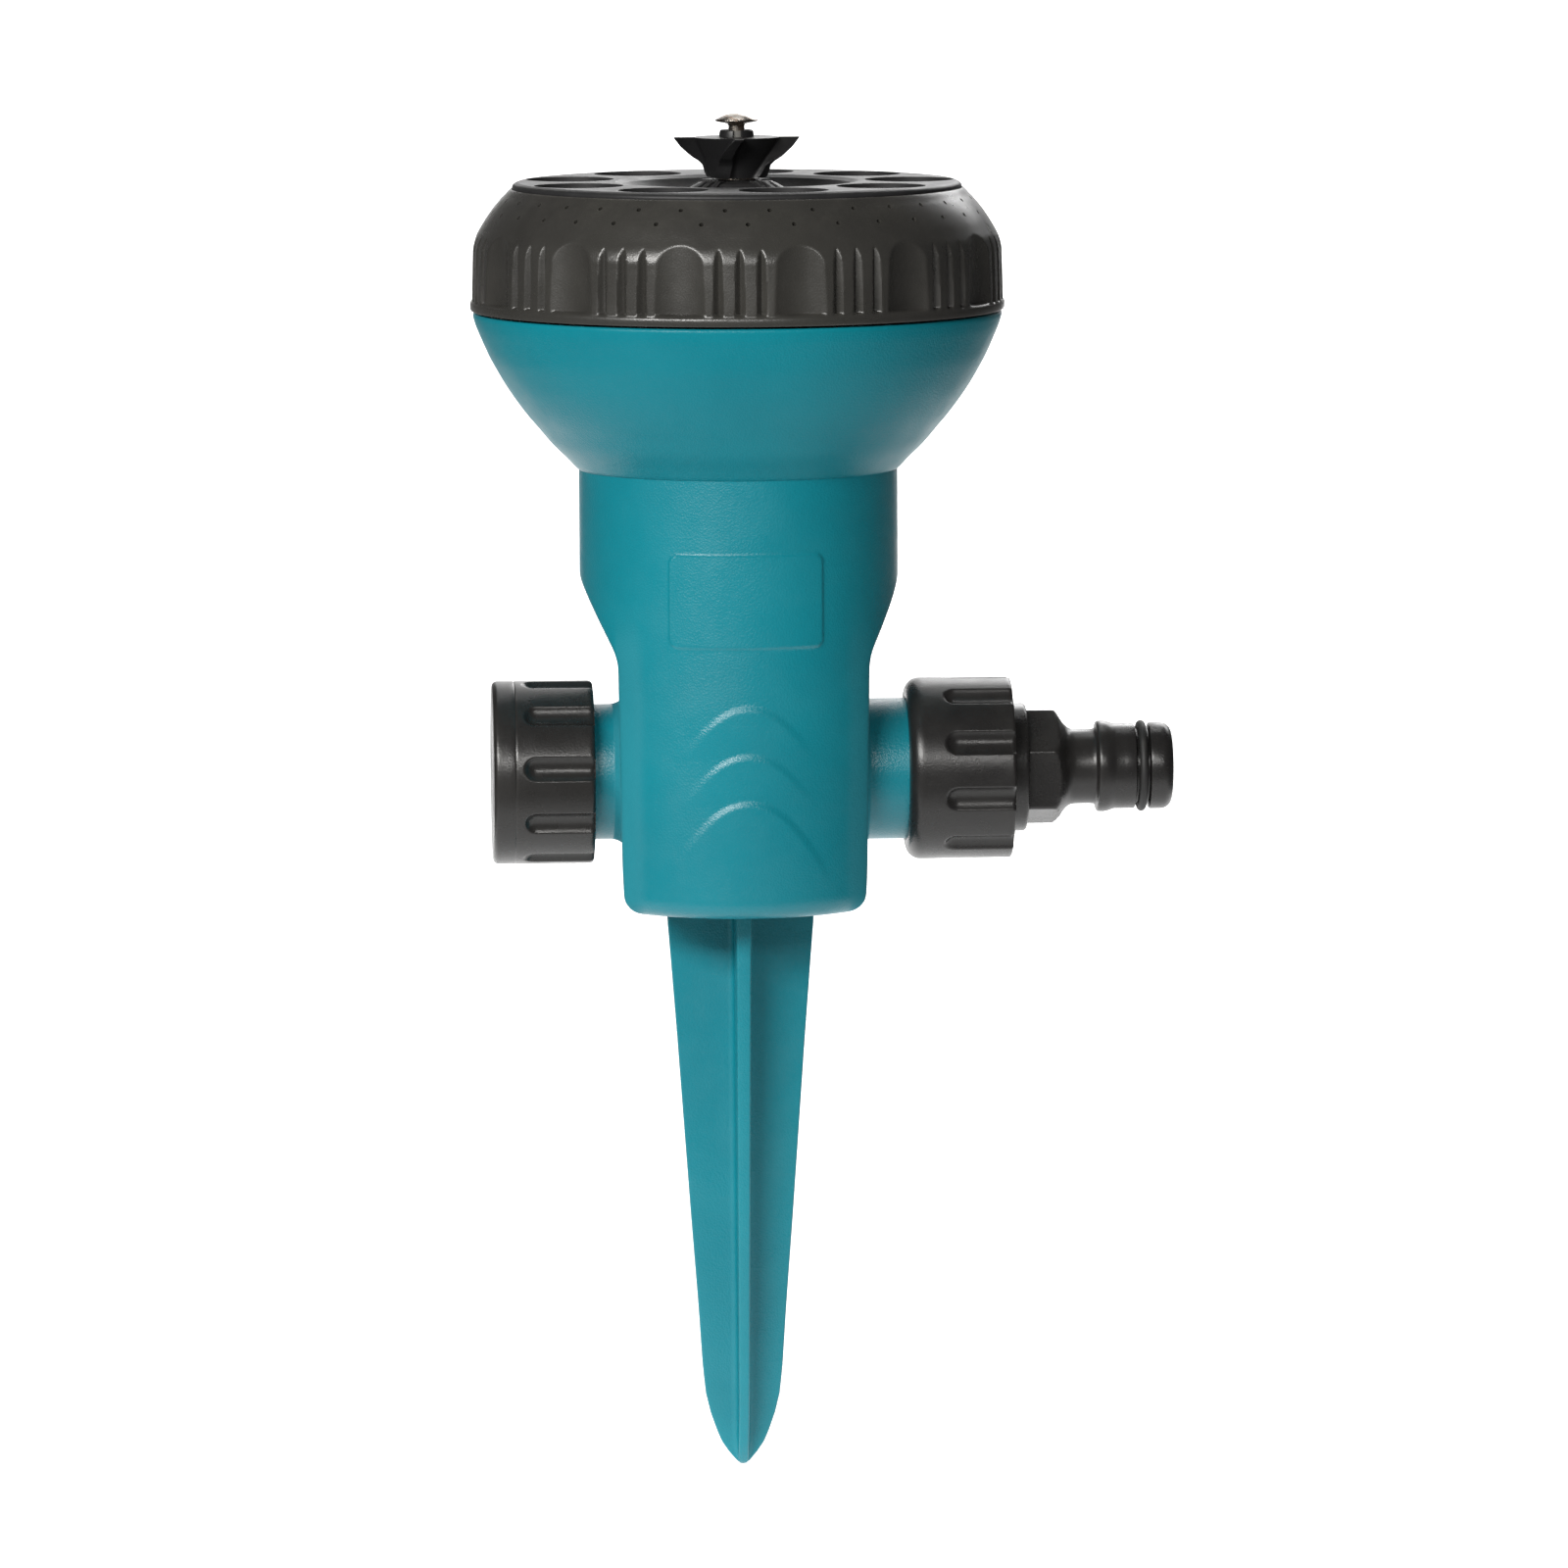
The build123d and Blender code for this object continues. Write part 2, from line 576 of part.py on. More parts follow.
# --------------------------------------------------------- axle and spinner
with BuildPart() as spinner_axle:
    with BuildSketch(Plane.XZ) as s:
        with BuildLine():
            Polyline((0, 122.0), (1.5, 122.0), (1.5, 145.1), (2.2, 145.5), (3.7, 145.7), (4.0, 145.85), (4.0, 146.05))
            ThreePointArc((4.0, 146.05), (2.2, 146.95), (0, 147.3))
            Line((0, 147.3), (0, 122.0))
        make_face()
    revolve(axis=Axis.Z)
    with BuildSketch(Plane.XY.offset(146.2)) as s:
        Rectangle(3.6, 0.8)
        Rectangle(0.8, 3.6)
    extrude(amount=2, mode=Mode.SUBTRACT)
spinner_axle.part.label = "spinner_axle"
export_step(spinner_axle.part, "parts/spinner_axle.step")

with BuildPart() as axle_washer:
    with BuildSketch(Plane.XY.offset(135.0)) as s:
        Circle(3.4)
        Circle(1.55, mode=Mode.SUBTRACT)
    extrude(amount=0.3)
axle_washer.part.label = "axle_washer"
export_step(axle_washer.part, "parts/axle_washer.step")

with BuildPart() as spinner_bush:
    with BuildSketch(Plane.XY.offset(135.4)) as s:
        Circle(2.3)
        Circle(1.6, mode=Mode.SUBTRACT)
    extrude(amount=8.7)
spinner_bush.part.label = "spinner_bush"
export_step(spinner_bush.part, "parts/spinner_bush.step")

with BuildPart() as vane:
    for z, reach, turn in ((135.5, 5.6, -33.0), (137.7, 6.2, -23.0), (140.4, 9.6, -11.0), (142.85, 11.7, 0.0)):
        with BuildSketch(Plane(origin=(0, 0, z), x_dir=(cos(radians(turn)), sin(radians(turn)), 0), z_dir=(0, 0, 1))) as s:
            with BuildLine():
                Polyline((1.0, -1.3), (reach * 0.6, -1.1), (reach, -0.3), (reach, 0.3), (reach * 0.6, 1.1), (1.0, 1.3), close=True)
            make_face()
    loft(ruled=True)
with BuildPart() as spinner:
    with BuildSketch(Plane.XZ) as s:
        with BuildLine():
            Polyline((0, 135.4), (4.7, 135.4), (5.0, 137.7), (6.5, 142.85), (3.1, 142.85), (2.95, 144.2), (0, 144.2), close=True)
        make_face()
    revolve(axis=Axis.Z)
    for k in range(4):
        add(vane.part.rotate(Axis.Z, 90 * k))
    with BuildSketch(Plane.XY.offset(143.0)) as s:
        Rectangle(1.6, 8, rotation=-3)
    extrude(amount=2, mode=Mode.SUBTRACT)
    with BuildSketch(Plane.XY.offset(134)) as s:
        Circle(2.3)
    extrude(amount=14, mode=Mode.SUBTRACT)
spinner.part.label = "spinner"
export_step(spinner.part, "parts/spinner.step")

# ------------------------------------------------------------- inlet fitting
def about_x(points):
    return [(px, Z_STUB + pr) for px, pr in points]

AX_X = Axis((0, 0, Z_STUB), (1, 0, 0))

# cutter for one flute: a long round-ended bar that lies along X above the axis
def flute_bar(x_end, r_knob):
    rr = r_knob - FLUTE_D + flute_r
    with BuildPart() as bar:
        with BuildSketch(Plane.XZ) as s:
            with BuildLine():
                Line((x_end, Z_STUB + rr), (x_end + 16, Z_STUB + rr))
                Line((x_end + 16, Z_STUB + rr), (x_end + 16, Z_STUB + rr + flute_r))
                Line((x_end + 16, Z_STUB + rr + flute_r), (x_end + flute_r, Z_STUB + rr + flute_r))
                RadiusArc((x_end + flute_r, Z_STUB + rr + flute_r), (x_end, Z_STUB + rr), -flute_r)
            make_face()
        revolve(axis=Axis((0, 0, Z_STUB + rr), (1, 0, 0)))
    return bar.part

with BuildPart() as inlet_nut:
    with BuildSketch(Plane.XZ) as s:
        with BuildLine():
            Polyline(*about_x([(33.2, 13.32), (31.0, 13.32), (31.0, 14.4)]))
            ThreePointArc(*about_x([(31.0, 14.4), (31.75, 16.25), (33.6, R_NUT)]))
            Polyline(*about_x([(33.6, R_NUT), (50.2, R_NUT), (50.7, 16.5), (50.7, 13.6), (50.3, 13.32),
                               (38.6, 13.32), (38.6, 14.3), (33.2, 14.3), (33.2, 13.32)]))
        make_face()
    revolve(axis=AX_X)
    for k in range(N_FLUTE):
        add(flute_bar(37.2, R_NUT).rotate(AX_X, 90 + 13.3 + 36 * k), mode=Mode.SUBTRACT)
inlet_nut.part.label = "inlet_nut"
export_step(inlet_nut.part, "parts/inlet_nut.step")

with BuildPart() as hose_adapter:
    with BuildSketch(Plane.XZ) as s:
        with BuildLine():
            thread = [(38.8, 5.0), (38.8, 12.5)]
            x = 39.2
            while x + PITCH < 48.6:
                thread += [(x, 12.62), (x + PITCH * 0.35, 13.2), (x + PITCH * 0.55, 13.2), (x + PITCH * 0.9, 12.62)]
                x += PITCH
            Polyline(*about_x(thread + [(49.0, 12.62), (50.6, 12.62), (50.9, 12.3), (53.2, 12.0), (53.6, 11.6), (53.6, 5.0), (38.8, 5.0)]))
        make_face()
    revolve(axis=AX_X)
    with BuildSketch(Plane.YZ.offset(53.5)) as s:
        with Locations((0, Z_STUB)):
            RegularPolygon(11.1, 6, rotation=180 + 38.5)
    extrude(amount=8.8)
    with BuildSketch(Plane.XZ) as s:      # rounds the hexagon's outer corners
        with BuildLine():
            Polyline(*about_x([(58.2, 11.4), (59.2, 10.7), (60.4, 8.6), (62.1, 7.0), (64.0, 7.0), (64.0, 14.0), (58.2, 14.0)]), close=True)
        make_face()
    revolve(axis=AX_X, mode=Mode.SUBTRACT)
    with BuildSketch(Plane.XZ) as s:
        with BuildLine():
            Polyline(*about_x([(60.0, 5.0), (60.0, 7.0), (66.5, 7.0), (66.9, 8.3), (67.2, 8.53), (68.6, 8.53),
                               (70.0, 8.0), (74.0, 8.0), (74.2, 7.0), (76.5, 7.0), (76.7, 8.1), (79.2, 8.1)]))
            ThreePointArc(*about_x([(79.2, 8.1), (80.5, 7.5), (81.0, 6.3)]))
            Polyline(*about_x([(81.0, 6.3), (81.0, 5.4), (80.6, 5.0), (60.0, 5.0)]))
        make_face()
    revolve(axis=AX_X)
    with BuildSketch(Plane.YZ.offset(38)) as s:
        with Locations((0, Z_STUB)):
            Circle(5.0)
    extrude(amount=50, mode=Mode.SUBTRACT)
    with BuildSketch(Plane.YZ.offset(38)) as s:
        with Locations((0, Z_STUB)):
            Circle(9.0)
    extrude(amount=9.0, mode=Mode.SUBTRACT)
hose_adapter.part.label = "hose_adapter"
export_step(hose_adapter.part, "parts/hose_adapter.step")

with BuildPart() as adapter_o_ring:
    with BuildSketch(Plane.XZ) as s:
        with Locations((75.35, Z_STUB + 7.78)):
            Circle(0.77)
    revolve(axis=AX_X)
adapter_o_ring.part.label = "adapter_o_ring"
export_step(adapter_o_ring.part, "parts/adapter_o_ring.step")

with BuildPart() as inlet_washer:
    with BuildSketch(Plane.YZ.offset(36.5)) as s:
        with Locations((0, Z_STUB)):
            Circle(12.9)
            Circle(7.6, mode=Mode.SUBTRACT)
    extrude(amount=2.25)
inlet_washer.part.label = "inlet_washer"
export_step(inlet_washer.part, "parts/inlet_washer.step")

with BuildPart() as inlet_screen:
    with BuildSketch(Plane.YZ.offset(34.0)) as s:
        with Locations((0, Z_STUB)):
            Circle(8.9)
            with GridLocations(1.9, 1.9, 7, 7):
                Rectangle(1.25, 1.25, mode=Mode.SUBTRACT)
    extrude(amount=0.4)
    with BuildSketch(Plane.YZ.offset(34.0)) as s:
        with Locations((0, Z_STUB)):
            Circle(8.9)
            Circle(8.1, mode=Mode.SUBTRACT)
    extrude(amount=2.5)
inlet_screen.part.label = "inlet_screen"
export_step(inlet_screen.part, "parts/inlet_screen.step")

# ---------------------------------------------------------------- outlet cap
with BuildPart() as cap_washer:
    with BuildSketch(Plane.YZ.offset(X_LEND - 2.35)) as s:
        with Locations((0, Z_STUB)):
            Circle(12.9)
            Circle(8.0, mode=Mode.SUBTRACT)
    extrude(amount=2.3)
cap_washer.part.label = "cap_washer"
export_step(cap_washer.part, "parts/cap_washer.step")

with BuildPart() as outlet_cap:
    with BuildSketch(Plane.XZ) as s:
        with BuildLine():
            Polyline(*about_x([(-43.2, 0), (-46.3, 0), (-46.3, 16.2)]))
            ThreePointArc(*about_x([(-46.3, 16.2), (-46.0, 16.83), (-45.3, R_KNOB)]))
            Polyline(*about_x([(-45.3, R_KNOB), (-42.35, R_KNOB), (-42.2, 16.98), (-42.05, R_KNOB), (-28.1, R_KNOB),
                               (-27.6, 16.6), (-27.5, 13.9), (-28.0, 13.32), (-43.2, 13.32), (-43.2, 0)]))
        make_face()
    revolve(axis=AX_X)
    for k in range(N_FLUTE):
        add(flute_bar(-41.1, R_KNOB).rotate(AX_X, 90 - 8.6 + 36 * k), mode=Mode.SUBTRACT)
outlet_cap.part.label = "outlet_cap"
export_step(outlet_cap.part, "parts/outlet_cap.step")
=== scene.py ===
import json
import math

import bmesh
import bpy
import numpy as np
from mathutils import Matrix, Vector


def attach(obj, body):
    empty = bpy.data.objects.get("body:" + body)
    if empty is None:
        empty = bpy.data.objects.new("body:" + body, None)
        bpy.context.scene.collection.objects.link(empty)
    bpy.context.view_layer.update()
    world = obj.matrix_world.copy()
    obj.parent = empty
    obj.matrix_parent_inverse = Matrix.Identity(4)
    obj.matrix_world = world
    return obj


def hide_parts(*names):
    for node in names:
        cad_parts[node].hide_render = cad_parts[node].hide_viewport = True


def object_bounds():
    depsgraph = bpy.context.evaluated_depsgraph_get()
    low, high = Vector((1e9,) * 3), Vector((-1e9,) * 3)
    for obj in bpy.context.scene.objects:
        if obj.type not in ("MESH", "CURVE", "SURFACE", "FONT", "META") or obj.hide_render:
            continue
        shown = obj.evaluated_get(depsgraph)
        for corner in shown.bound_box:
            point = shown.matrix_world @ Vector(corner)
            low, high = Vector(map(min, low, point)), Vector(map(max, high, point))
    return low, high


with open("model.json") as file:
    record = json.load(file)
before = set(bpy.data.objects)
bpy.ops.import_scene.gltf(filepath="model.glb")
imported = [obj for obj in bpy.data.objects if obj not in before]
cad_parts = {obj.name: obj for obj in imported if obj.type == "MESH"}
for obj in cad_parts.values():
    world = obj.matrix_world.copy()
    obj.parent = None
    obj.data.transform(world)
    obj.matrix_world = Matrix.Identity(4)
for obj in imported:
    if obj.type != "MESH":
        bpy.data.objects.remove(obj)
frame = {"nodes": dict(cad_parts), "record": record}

CAD_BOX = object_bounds()
MM = 0.001
scene = bpy.context.scene
nodes = frame["nodes"]
Z_STUB = 24.5


# ------------------------------------------------------------------ materials
def mat_new(name):
    m = bpy.data.materials.new(name)
    m.use_nodes = True
    nt = m.node_tree
    nt.nodes.clear()
    out = nt.nodes.new("ShaderNodeOutputMaterial")
    bsdf = nt.nodes.new("ShaderNodeBsdfPrincipled")
    nt.links.new(bsdf.outputs["BSDF"], out.inputs["Surface"])
    return m, nt, bsdf


def srgb(r, g, b):
    def f(c):
        c /= 255.0
        return c / 12.92 if c <= 0.04045 else ((c + 0.055) / 1.055) ** 2.4
    return (f(r), f(g), f(b), 1.0)


class Nodes:
    """Small helper for building node trees."""
    def __init__(self, nt):
        self.nt = nt

    def new(self, kind, **kw):
        n = self.nt.nodes.new(kind)
        for k, v in kw.items():
            setattr(n, k, v)
        return n

    def link(self, a, b):
        self.nt.links.new(a, b)

    def coords(self):
        return self.new("ShaderNodeTexCoord").outputs["Object"]

    def mapping(self, src, scale=(1, 1, 1), loc=(0, 0, 0)):
        m = self.new("ShaderNodeMapping")
        m.inputs["Scale"].default_value = scale
        m.inputs["Location"].default_value = loc
        self.link(src, m.inputs["Vector"])
        return m.outputs["Vector"]

    def noise(self, src, scale, detail=4.0, rough=0.55, dist=0.0):
        n = self.new("ShaderNodeTexNoise")
        n.inputs["Scale"].default_value = scale
        n.inputs["Detail"].default_value = detail
        n.inputs["Roughness"].default_value = rough
        n.inputs["Distortion"].default_value = dist
        self.link(src, n.inputs["Vector"])
        return n.outputs["Fac"]

    def voronoi(self, src, scale, feature="F1"):
        n = self.new("ShaderNodeTexVoronoi", feature=feature)
        n.inputs["Scale"].default_value = scale
        self.link(src, n.inputs["Vector"])
        return n.outputs["Distance"]

    def ramp(self, src, lo, hi, a=0.0, b=1.0, smooth=True):
        m = self.new("ShaderNodeMapRange", interpolation_type="SMOOTHSTEP" if smooth else "LINEAR")
        m.inputs["From Min"].default_value = lo
        m.inputs["From Max"].default_value = hi
        m.inputs["To Min"].default_value = a
        m.inputs["To Max"].default_value = b
        self.link(src, m.inputs["Value"])
        return m.outputs["Result"]

    def math(self, op, a, b=None):
        m = self.new("ShaderNodeMath", operation=op)
        for i, v in enumerate((a, b)):
            if v is None:
                continue
            if isinstance(v, (int, float)):
                m.inputs[i].default_value = v
            else:
                self.link(v, m.inputs[i])
        return m.outputs[0]

    def mix(self, fac, a, b, blend="MIX"):
        m = self.new("ShaderNodeMix", data_type="RGBA", blend_type=blend)
        if isinstance(fac, (int, float)):
            m.inputs["Factor"].default_value = fac
        else:
            self.link(fac, m.inputs["Factor"])
        for key, v in (("A", a), ("B", b)):
            sock = [i for i in m.inputs if i.name == key and i.type == "RGBA"][0]
            if isinstance(v, tuple):
                sock.default_value = v
            else:
                self.link(v, sock)
        return [o for o in m.outputs if o.type == "RGBA"][0]

    def bump(self, height, strength, distance, normal=None):
        b = self.new("ShaderNodeBump")
        b.inputs["Strength"].default_value = strength
        b.inputs["Distance"].default_value = distance
        self.link(height, b.inputs["Height"])
        if normal is not None:
            self.link(normal, b.inputs["Normal"])
        return b.outputs["Normal"]


def plastic(name, base, dark, wear_and_edge_highlight, rough=0.36, grain=900.0, grain_mm=0.012, scratch=0.35, dust=0.25,
            coat=0.0, rough_var=0.10, edge_mm=0.5, edge_gain=0.5, specular=0.5, cloud=0.05, grain_gain=0.55, flats=False):
    """Moulded plastic: slow colour drift, fine spark-eroded grain, hairline scuffs, edges lightened partly as wear and
    partly as a painted highlight, and a little dust.
    """
    m, nt, bsdf = mat_new(name)
    n = Nodes(nt)
    co = n.coords()
    drift = n.noise(co, 22.0, 3.0)
    blotch = n.noise(co, 95.0, 5.0, 0.6)
    fine = n.noise(co, grain * 4.0, 2.0)
    cells = n.voronoi(co, grain)
    # hairlines: two stretched noises in different directions
    h1 = n.noise(n.mapping(co, (40, 2600, 2600), (0.3, 0.1, 0.2)), 1.6, 2.0, 0.4, 0.1)
    h2 = n.noise(n.mapping(co, (2600, 2600, 36), (1.3, 0.7, 2.2)), 1.4, 2.0, 0.4, 0.1)
    s1 = n.ramp(h1, 0.705, 0.74)
    s2 = n.ramp(h2, 0.715, 0.75)
    scuff = n.math("MULTIPLY", n.math("MAXIMUM", s1, s2), n.ramp(blotch, 0.42, 0.62))
    # edges lightened partly as wear and partly as a painted highlight, from how much open space lies inside the surface
    ao = n.new("ShaderNodeAmbientOcclusion", samples=6, inside=True)
    ao.inputs["Distance"].default_value = edge_mm * MM
    edge = n.ramp(n.math("SUBTRACT", 1.0, ao.outputs["AO"]), 0.18, 0.75)
    edge = n.math("MULTIPLY", edge, n.ramp(n.noise(co, 240.0, 4.0), 0.30, 0.62))
    c = n.mix(n.ramp(drift, 0.32, 0.68), base, dark)
    c = n.mix(n.math("MULTIPLY", n.ramp(blotch, 0.45, 0.75), cloud), c, wear_and_edge_highlight)
    # painted highlight, partly real wear: the edge mask lightens the colour along edges
    c = n.mix(n.math("MULTIPLY", edge, edge_gain), c, wear_and_edge_highlight)
    c = n.mix(n.math("MULTIPLY", scuff, scratch), c, wear_and_edge_highlight)
    # dust that settles on upward faces
    geo = n.new("ShaderNodeNewGeometry")
    sep = n.new("ShaderNodeSeparateXYZ")
    n.link(geo.outputs["Normal"], sep.inputs["Vector"])
    up = n.ramp(sep.outputs["Z"], 0.35, 0.95)
    dusty = n.math("MULTIPLY", n.math("MULTIPLY", up, n.ramp(n.noise(co, 160.0, 6.0, 0.7), 0.40, 0.72)), dust)
    c = n.mix(dusty, c, srgb(176, 172, 160))
    n.link(c, bsdf.inputs["Base Color"])
    r = n.math("ADD", n.ramp(blotch, 0.3, 0.7, rough - rough_var * 0.5, rough + rough_var * 0.5),
               n.math("MULTIPLY", dusty, 0.35))
    r = n.math("ADD", r, n.math("MULTIPLY", scuff, 0.16))
    r = n.math("ADD", r, n.math("MULTIPLY", edge, -0.05))
    if flats:                                   # the two cut flats of the lower body are duller
        sx = n.new("ShaderNodeSeparateXYZ")
        n.link(co, sx.inputs["Vector"])
        m1 = n.math("MULTIPLY", n.ramp(n.math("ABSOLUTE", sx.outputs["X"]), 0.0180, 0.0212),
                    n.ramp(sx.outputs["Z"], 0.058, 0.046))
        r = n.math("ADD", r, n.math("MULTIPLY", n.math("MULTIPLY", m1, n.ramp(n.math("ABSOLUTE", sx.outputs["X"]), 0.0240, 0.0236)), 0.5))
    n.link(r, bsdf.inputs["Roughness"])
    hgt = n.math("ADD", n.math("MULTIPLY", cells, 0.7), n.math("MULTIPLY", fine, 0.3))
    hgt = n.math("SUBTRACT", hgt, n.math("MULTIPLY", scuff, 0.15))
    nrm = n.bump(hgt, grain_gain, grain_mm * MM)
    nrm = n.bump(n.noise(co, 60.0, 2.0), 0.5, 0.05 * MM, nrm)
    n.link(nrm, bsdf.inputs["Normal"])
    bsdf.inputs["IOR"].default_value = 1.5
    bsdf.inputs["Specular IOR Level"].default_value = specular
    if coat:
        bsdf.inputs["Coat Weight"].default_value = coat
        bsdf.inputs["Coat Roughness"].default_value = 0.12
    return m


def metal(name, base, tint, rough=0.28, brushed=(1, 1, 1), stain=None):
    m, nt, bsdf = mat_new(name)
    n = Nodes(nt)
    co = n.coords()
    brush = n.noise(n.mapping(co, brushed), 900.0, 3.0, 0.6)
    blotch = n.noise(co, 420.0, 5.0, 0.6)
    c = n.mix(n.ramp(blotch, 0.35, 0.7), base, tint)
    if stain is not None:
        c = n.mix(n.math("MULTIPLY", n.ramp(n.noise(co, 700.0, 4.0), 0.48, 0.66), 0.55), c, stain)
    n.link(c, bsdf.inputs["Base Color"])
    bsdf.inputs["Metallic"].default_value = 1.0
    r = n.math("ADD", n.ramp(brush, 0.3, 0.7, rough - 0.07, rough + 0.09),
               n.math("MULTIPLY", n.ramp(blotch, 0.5, 0.75), 0.15))
    n.link(r, bsdf.inputs["Roughness"])
    n.link(n.bump(brush, 0.35, 0.01 * MM), bsdf.inputs["Normal"])
    return m


TEAL = plastic("teal_plastic", srgb(10, 122, 136), srgb(8, 115, 129), srgb(70, 150, 160), rough=0.33,
               grain=2500.0, grain_mm=0.11, scratch=0.03, dust=0.03, edge_gain=0.22, cloud=0.03, specular=0.42, flats=True)
FLARE = plastic("teal_flare", srgb(10, 122, 136), srgb(8, 115, 129), srgb(70, 150, 160), rough=0.36,
               grain=2500.0, grain_mm=0.11, scratch=0.03, dust=0.03, edge_gain=0.22, cloud=0.03, specular=0.16)
BLACK = plastic("black_plastic", srgb(52, 51, 48), srgb(46, 45, 43), srgb(102, 100, 94), rough=0.30,
                grain=3300.0, grain_mm=0.040, scratch=0.05, dust=0.04, edge_gain=0.40, cloud=0.04)
# a darker copy of the black plastic for the nut, cap and adapter: painted shade
BLACK_SHADED_COPY = plastic("black_fitting_painted_shade", srgb(33, 32, 31), srgb(29, 28, 28), srgb(84, 82, 78), rough=0.29,
                  grain=3300.0, grain_mm=0.040, scratch=0.05, dust=0.02, edge_gain=0.35, cloud=0.04, specular=0.45)
DIAL = plastic("dial_plastic", srgb(42, 42, 43), srgb(37, 37, 38), srgb(110, 110, 110), rough=0.42,
               grain=3300.0, grain_mm=0.030, scratch=0.08, dust=0.04, edge_gain=0.45, cloud=0.05, specular=0.22)
SPIN = plastic("spinner_plastic", srgb(28, 28, 29), srgb(24, 24, 25), srgb(70, 70, 72), rough=0.40,
               grain=1800.0, grain_mm=0.012, scratch=0.2, dust=0.04, edge_gain=0.25, edge_mm=0.3, specular=0.35)
WHITE = plastic("white_plastic", srgb(206, 205, 198), srgb(198, 197, 190), srgb(225, 224, 218), rough=0.45,
                scratch=0.15, dust=0.0, edge_gain=0.1)
RUBBER = plastic("rubber", srgb(27, 27, 27), srgb(22, 22, 22), srgb(60, 60, 60), rough=0.62, grain=2400.0,
                 grain_mm=0.015, scratch=0.1, dust=0.1, edge_gain=0.2)
STEEL = metal("steel", srgb(178, 180, 183), srgb(158, 160, 165), 0.30)
STAINLESS = metal("stainless", srgb(172, 166, 158), srgb(150, 143, 134), 0.24, stain=srgb(150, 112, 80))
BY_SLOT = {"teal_plastic": TEAL, "black_plastic": BLACK, "dial_plastic": DIAL, "spinner_plastic": SPIN,
           "white_plastic": WHITE, "rubber": RUBBER, "steel": STEEL, "stainless": STAINLESS}

for sp in frame["record"]["subparts"]:
    ob = nodes[sp["node"]]
    m = BY_SLOT[sp["material_slot"]]
    if not ob.material_slots:
        ob.data.materials.append(m)
    for s in ob.material_slots:
        s.material = m


# the bush shows in the slot of the spinner's boss: a copy of its acetal greyed from white, painted shade in the slot
BUSH_SHADED_COPY = plastic("bush_painted_shade", srgb(104, 102, 98), srgb(88, 87, 84), srgb(140, 138, 132), rough=0.42,
               scratch=0.2, dust=0.0, edge_gain=0.1)
for s in nodes["spinner_bush"].material_slots:
    s.material = BUSH_SHADED_COPY


# ------------------------------------------------------------- mesh building
def smoothstep(a, b, x):
    t = np.clip((x - a) / (b - a), 0, 1)
    return t * t * (3 - 2 * t)


def smin(a, b, k):
    h = np.clip(0.5 + 0.5 * (b - a) / k, 0, 1)
    return b + (a - b) * h - k * h * (1 - h)


def rounded(points, radii, n=5, closed=False):
    """A polyline with its corners turned into arcs."""
    pts = [Vector((p[0], p[1])) for p in points]
    out = []
    count = len(pts)
    for i, p in enumerate(pts):
        r = radii[i] if isinstance(radii, (list, tuple)) else radii
        if (not closed and i in (0, count - 1)) or r <= 0:
            out.append((p.x, p.y))
            continue
        a, b = pts[i - 1], pts[(i + 1) % count]
        u, v = (a - p), (b - p)
        lu, lv = u.length, v.length
        if lu < 1e-9 or lv < 1e-9:
            continue
        u, v = u / lu, v / lv
        ang = math.acos(max(-1, min(1, u.dot(v))))
        if ang > math.pi - 0.02:
            out.append((p.x, p.y))
            continue
        d = min(r / math.tan(ang / 2), lu * 0.48, lv * 0.48)
        for k in range(n + 1):
            t = k / n
            q = (p + u * d) * (1 - t) ** 2 + p * 2 * t * (1 - t) + (p + v * d) * t ** 2
            out.append((q.x, q.y))
    return out


def dense(points, step, closed=False):
    """The same polyline with long segments divided."""
    out = []
    n = len(points)
    for i in range(n if closed else n - 1):
        a, b = np.array(points[i]), np.array(points[(i + 1) % n])
        s = step(a, b) if callable(step) else step
        k = max(1, int(math.ceil(np.linalg.norm(b - a) / s)))
        for j in range(k):
            out.append(tuple(a + (b - a) * j / k))
    if not closed:
        out.append(tuple(points[-1]))
    return out


def turned(profile, thetas, axis="Z", shape=None, closed=False, cap0=False, cap1=False):
    """Vertices and faces of a turned surface. profile is (along, radius) in mm; shape(along, radius, theta) may
    return new arrays of along and radius. thetas cover a full turn."""
    P = np.array(profile, float)
    T = np.array(thetas, float)
    A = np.repeat(P[:, 0][:, None], len(T), 1)
    R = np.repeat(P[:, 1][:, None], len(T), 1)
    TH = np.repeat(T[None, :], len(P), 0)
    if shape is not None:
        A, R = shape(A, R, TH)
    if axis == "Z":
        co = np.stack([R * np.cos(TH), R * np.sin(TH), A], -1)
    else:
        co = np.stack([A, R * np.cos(TH), Z_STUB + R * np.sin(TH)], -1)
    rows, cols = A.shape
    verts = co.reshape(-1, 3)
    faces = []
    for i in range(rows if closed else rows - 1):
        i2 = (i + 1) % rows
        base, nxt = i * cols, i2 * cols
        for j in range(cols):
            j2 = (j + 1) % cols
            faces.append((base + j, base + j2, nxt + j2, nxt + j))
    verts = [tuple(v) for v in verts]
    if cap0:
        c = np.array(verts[:cols]).mean(0)
        verts.append(tuple(c))
        k = len(verts) - 1
        for j in range(cols):
            faces.append((k, (j + 1) % cols, j))
    if cap1:
        base = (rows - 1) * cols
        c = np.array(verts[base:base + cols]).mean(0)
        verts.append(tuple(c))
        k = len(verts) - 1
        for j in range(cols):
            faces.append((k, base + j, base + (j + 1) % cols))
    return verts, faces


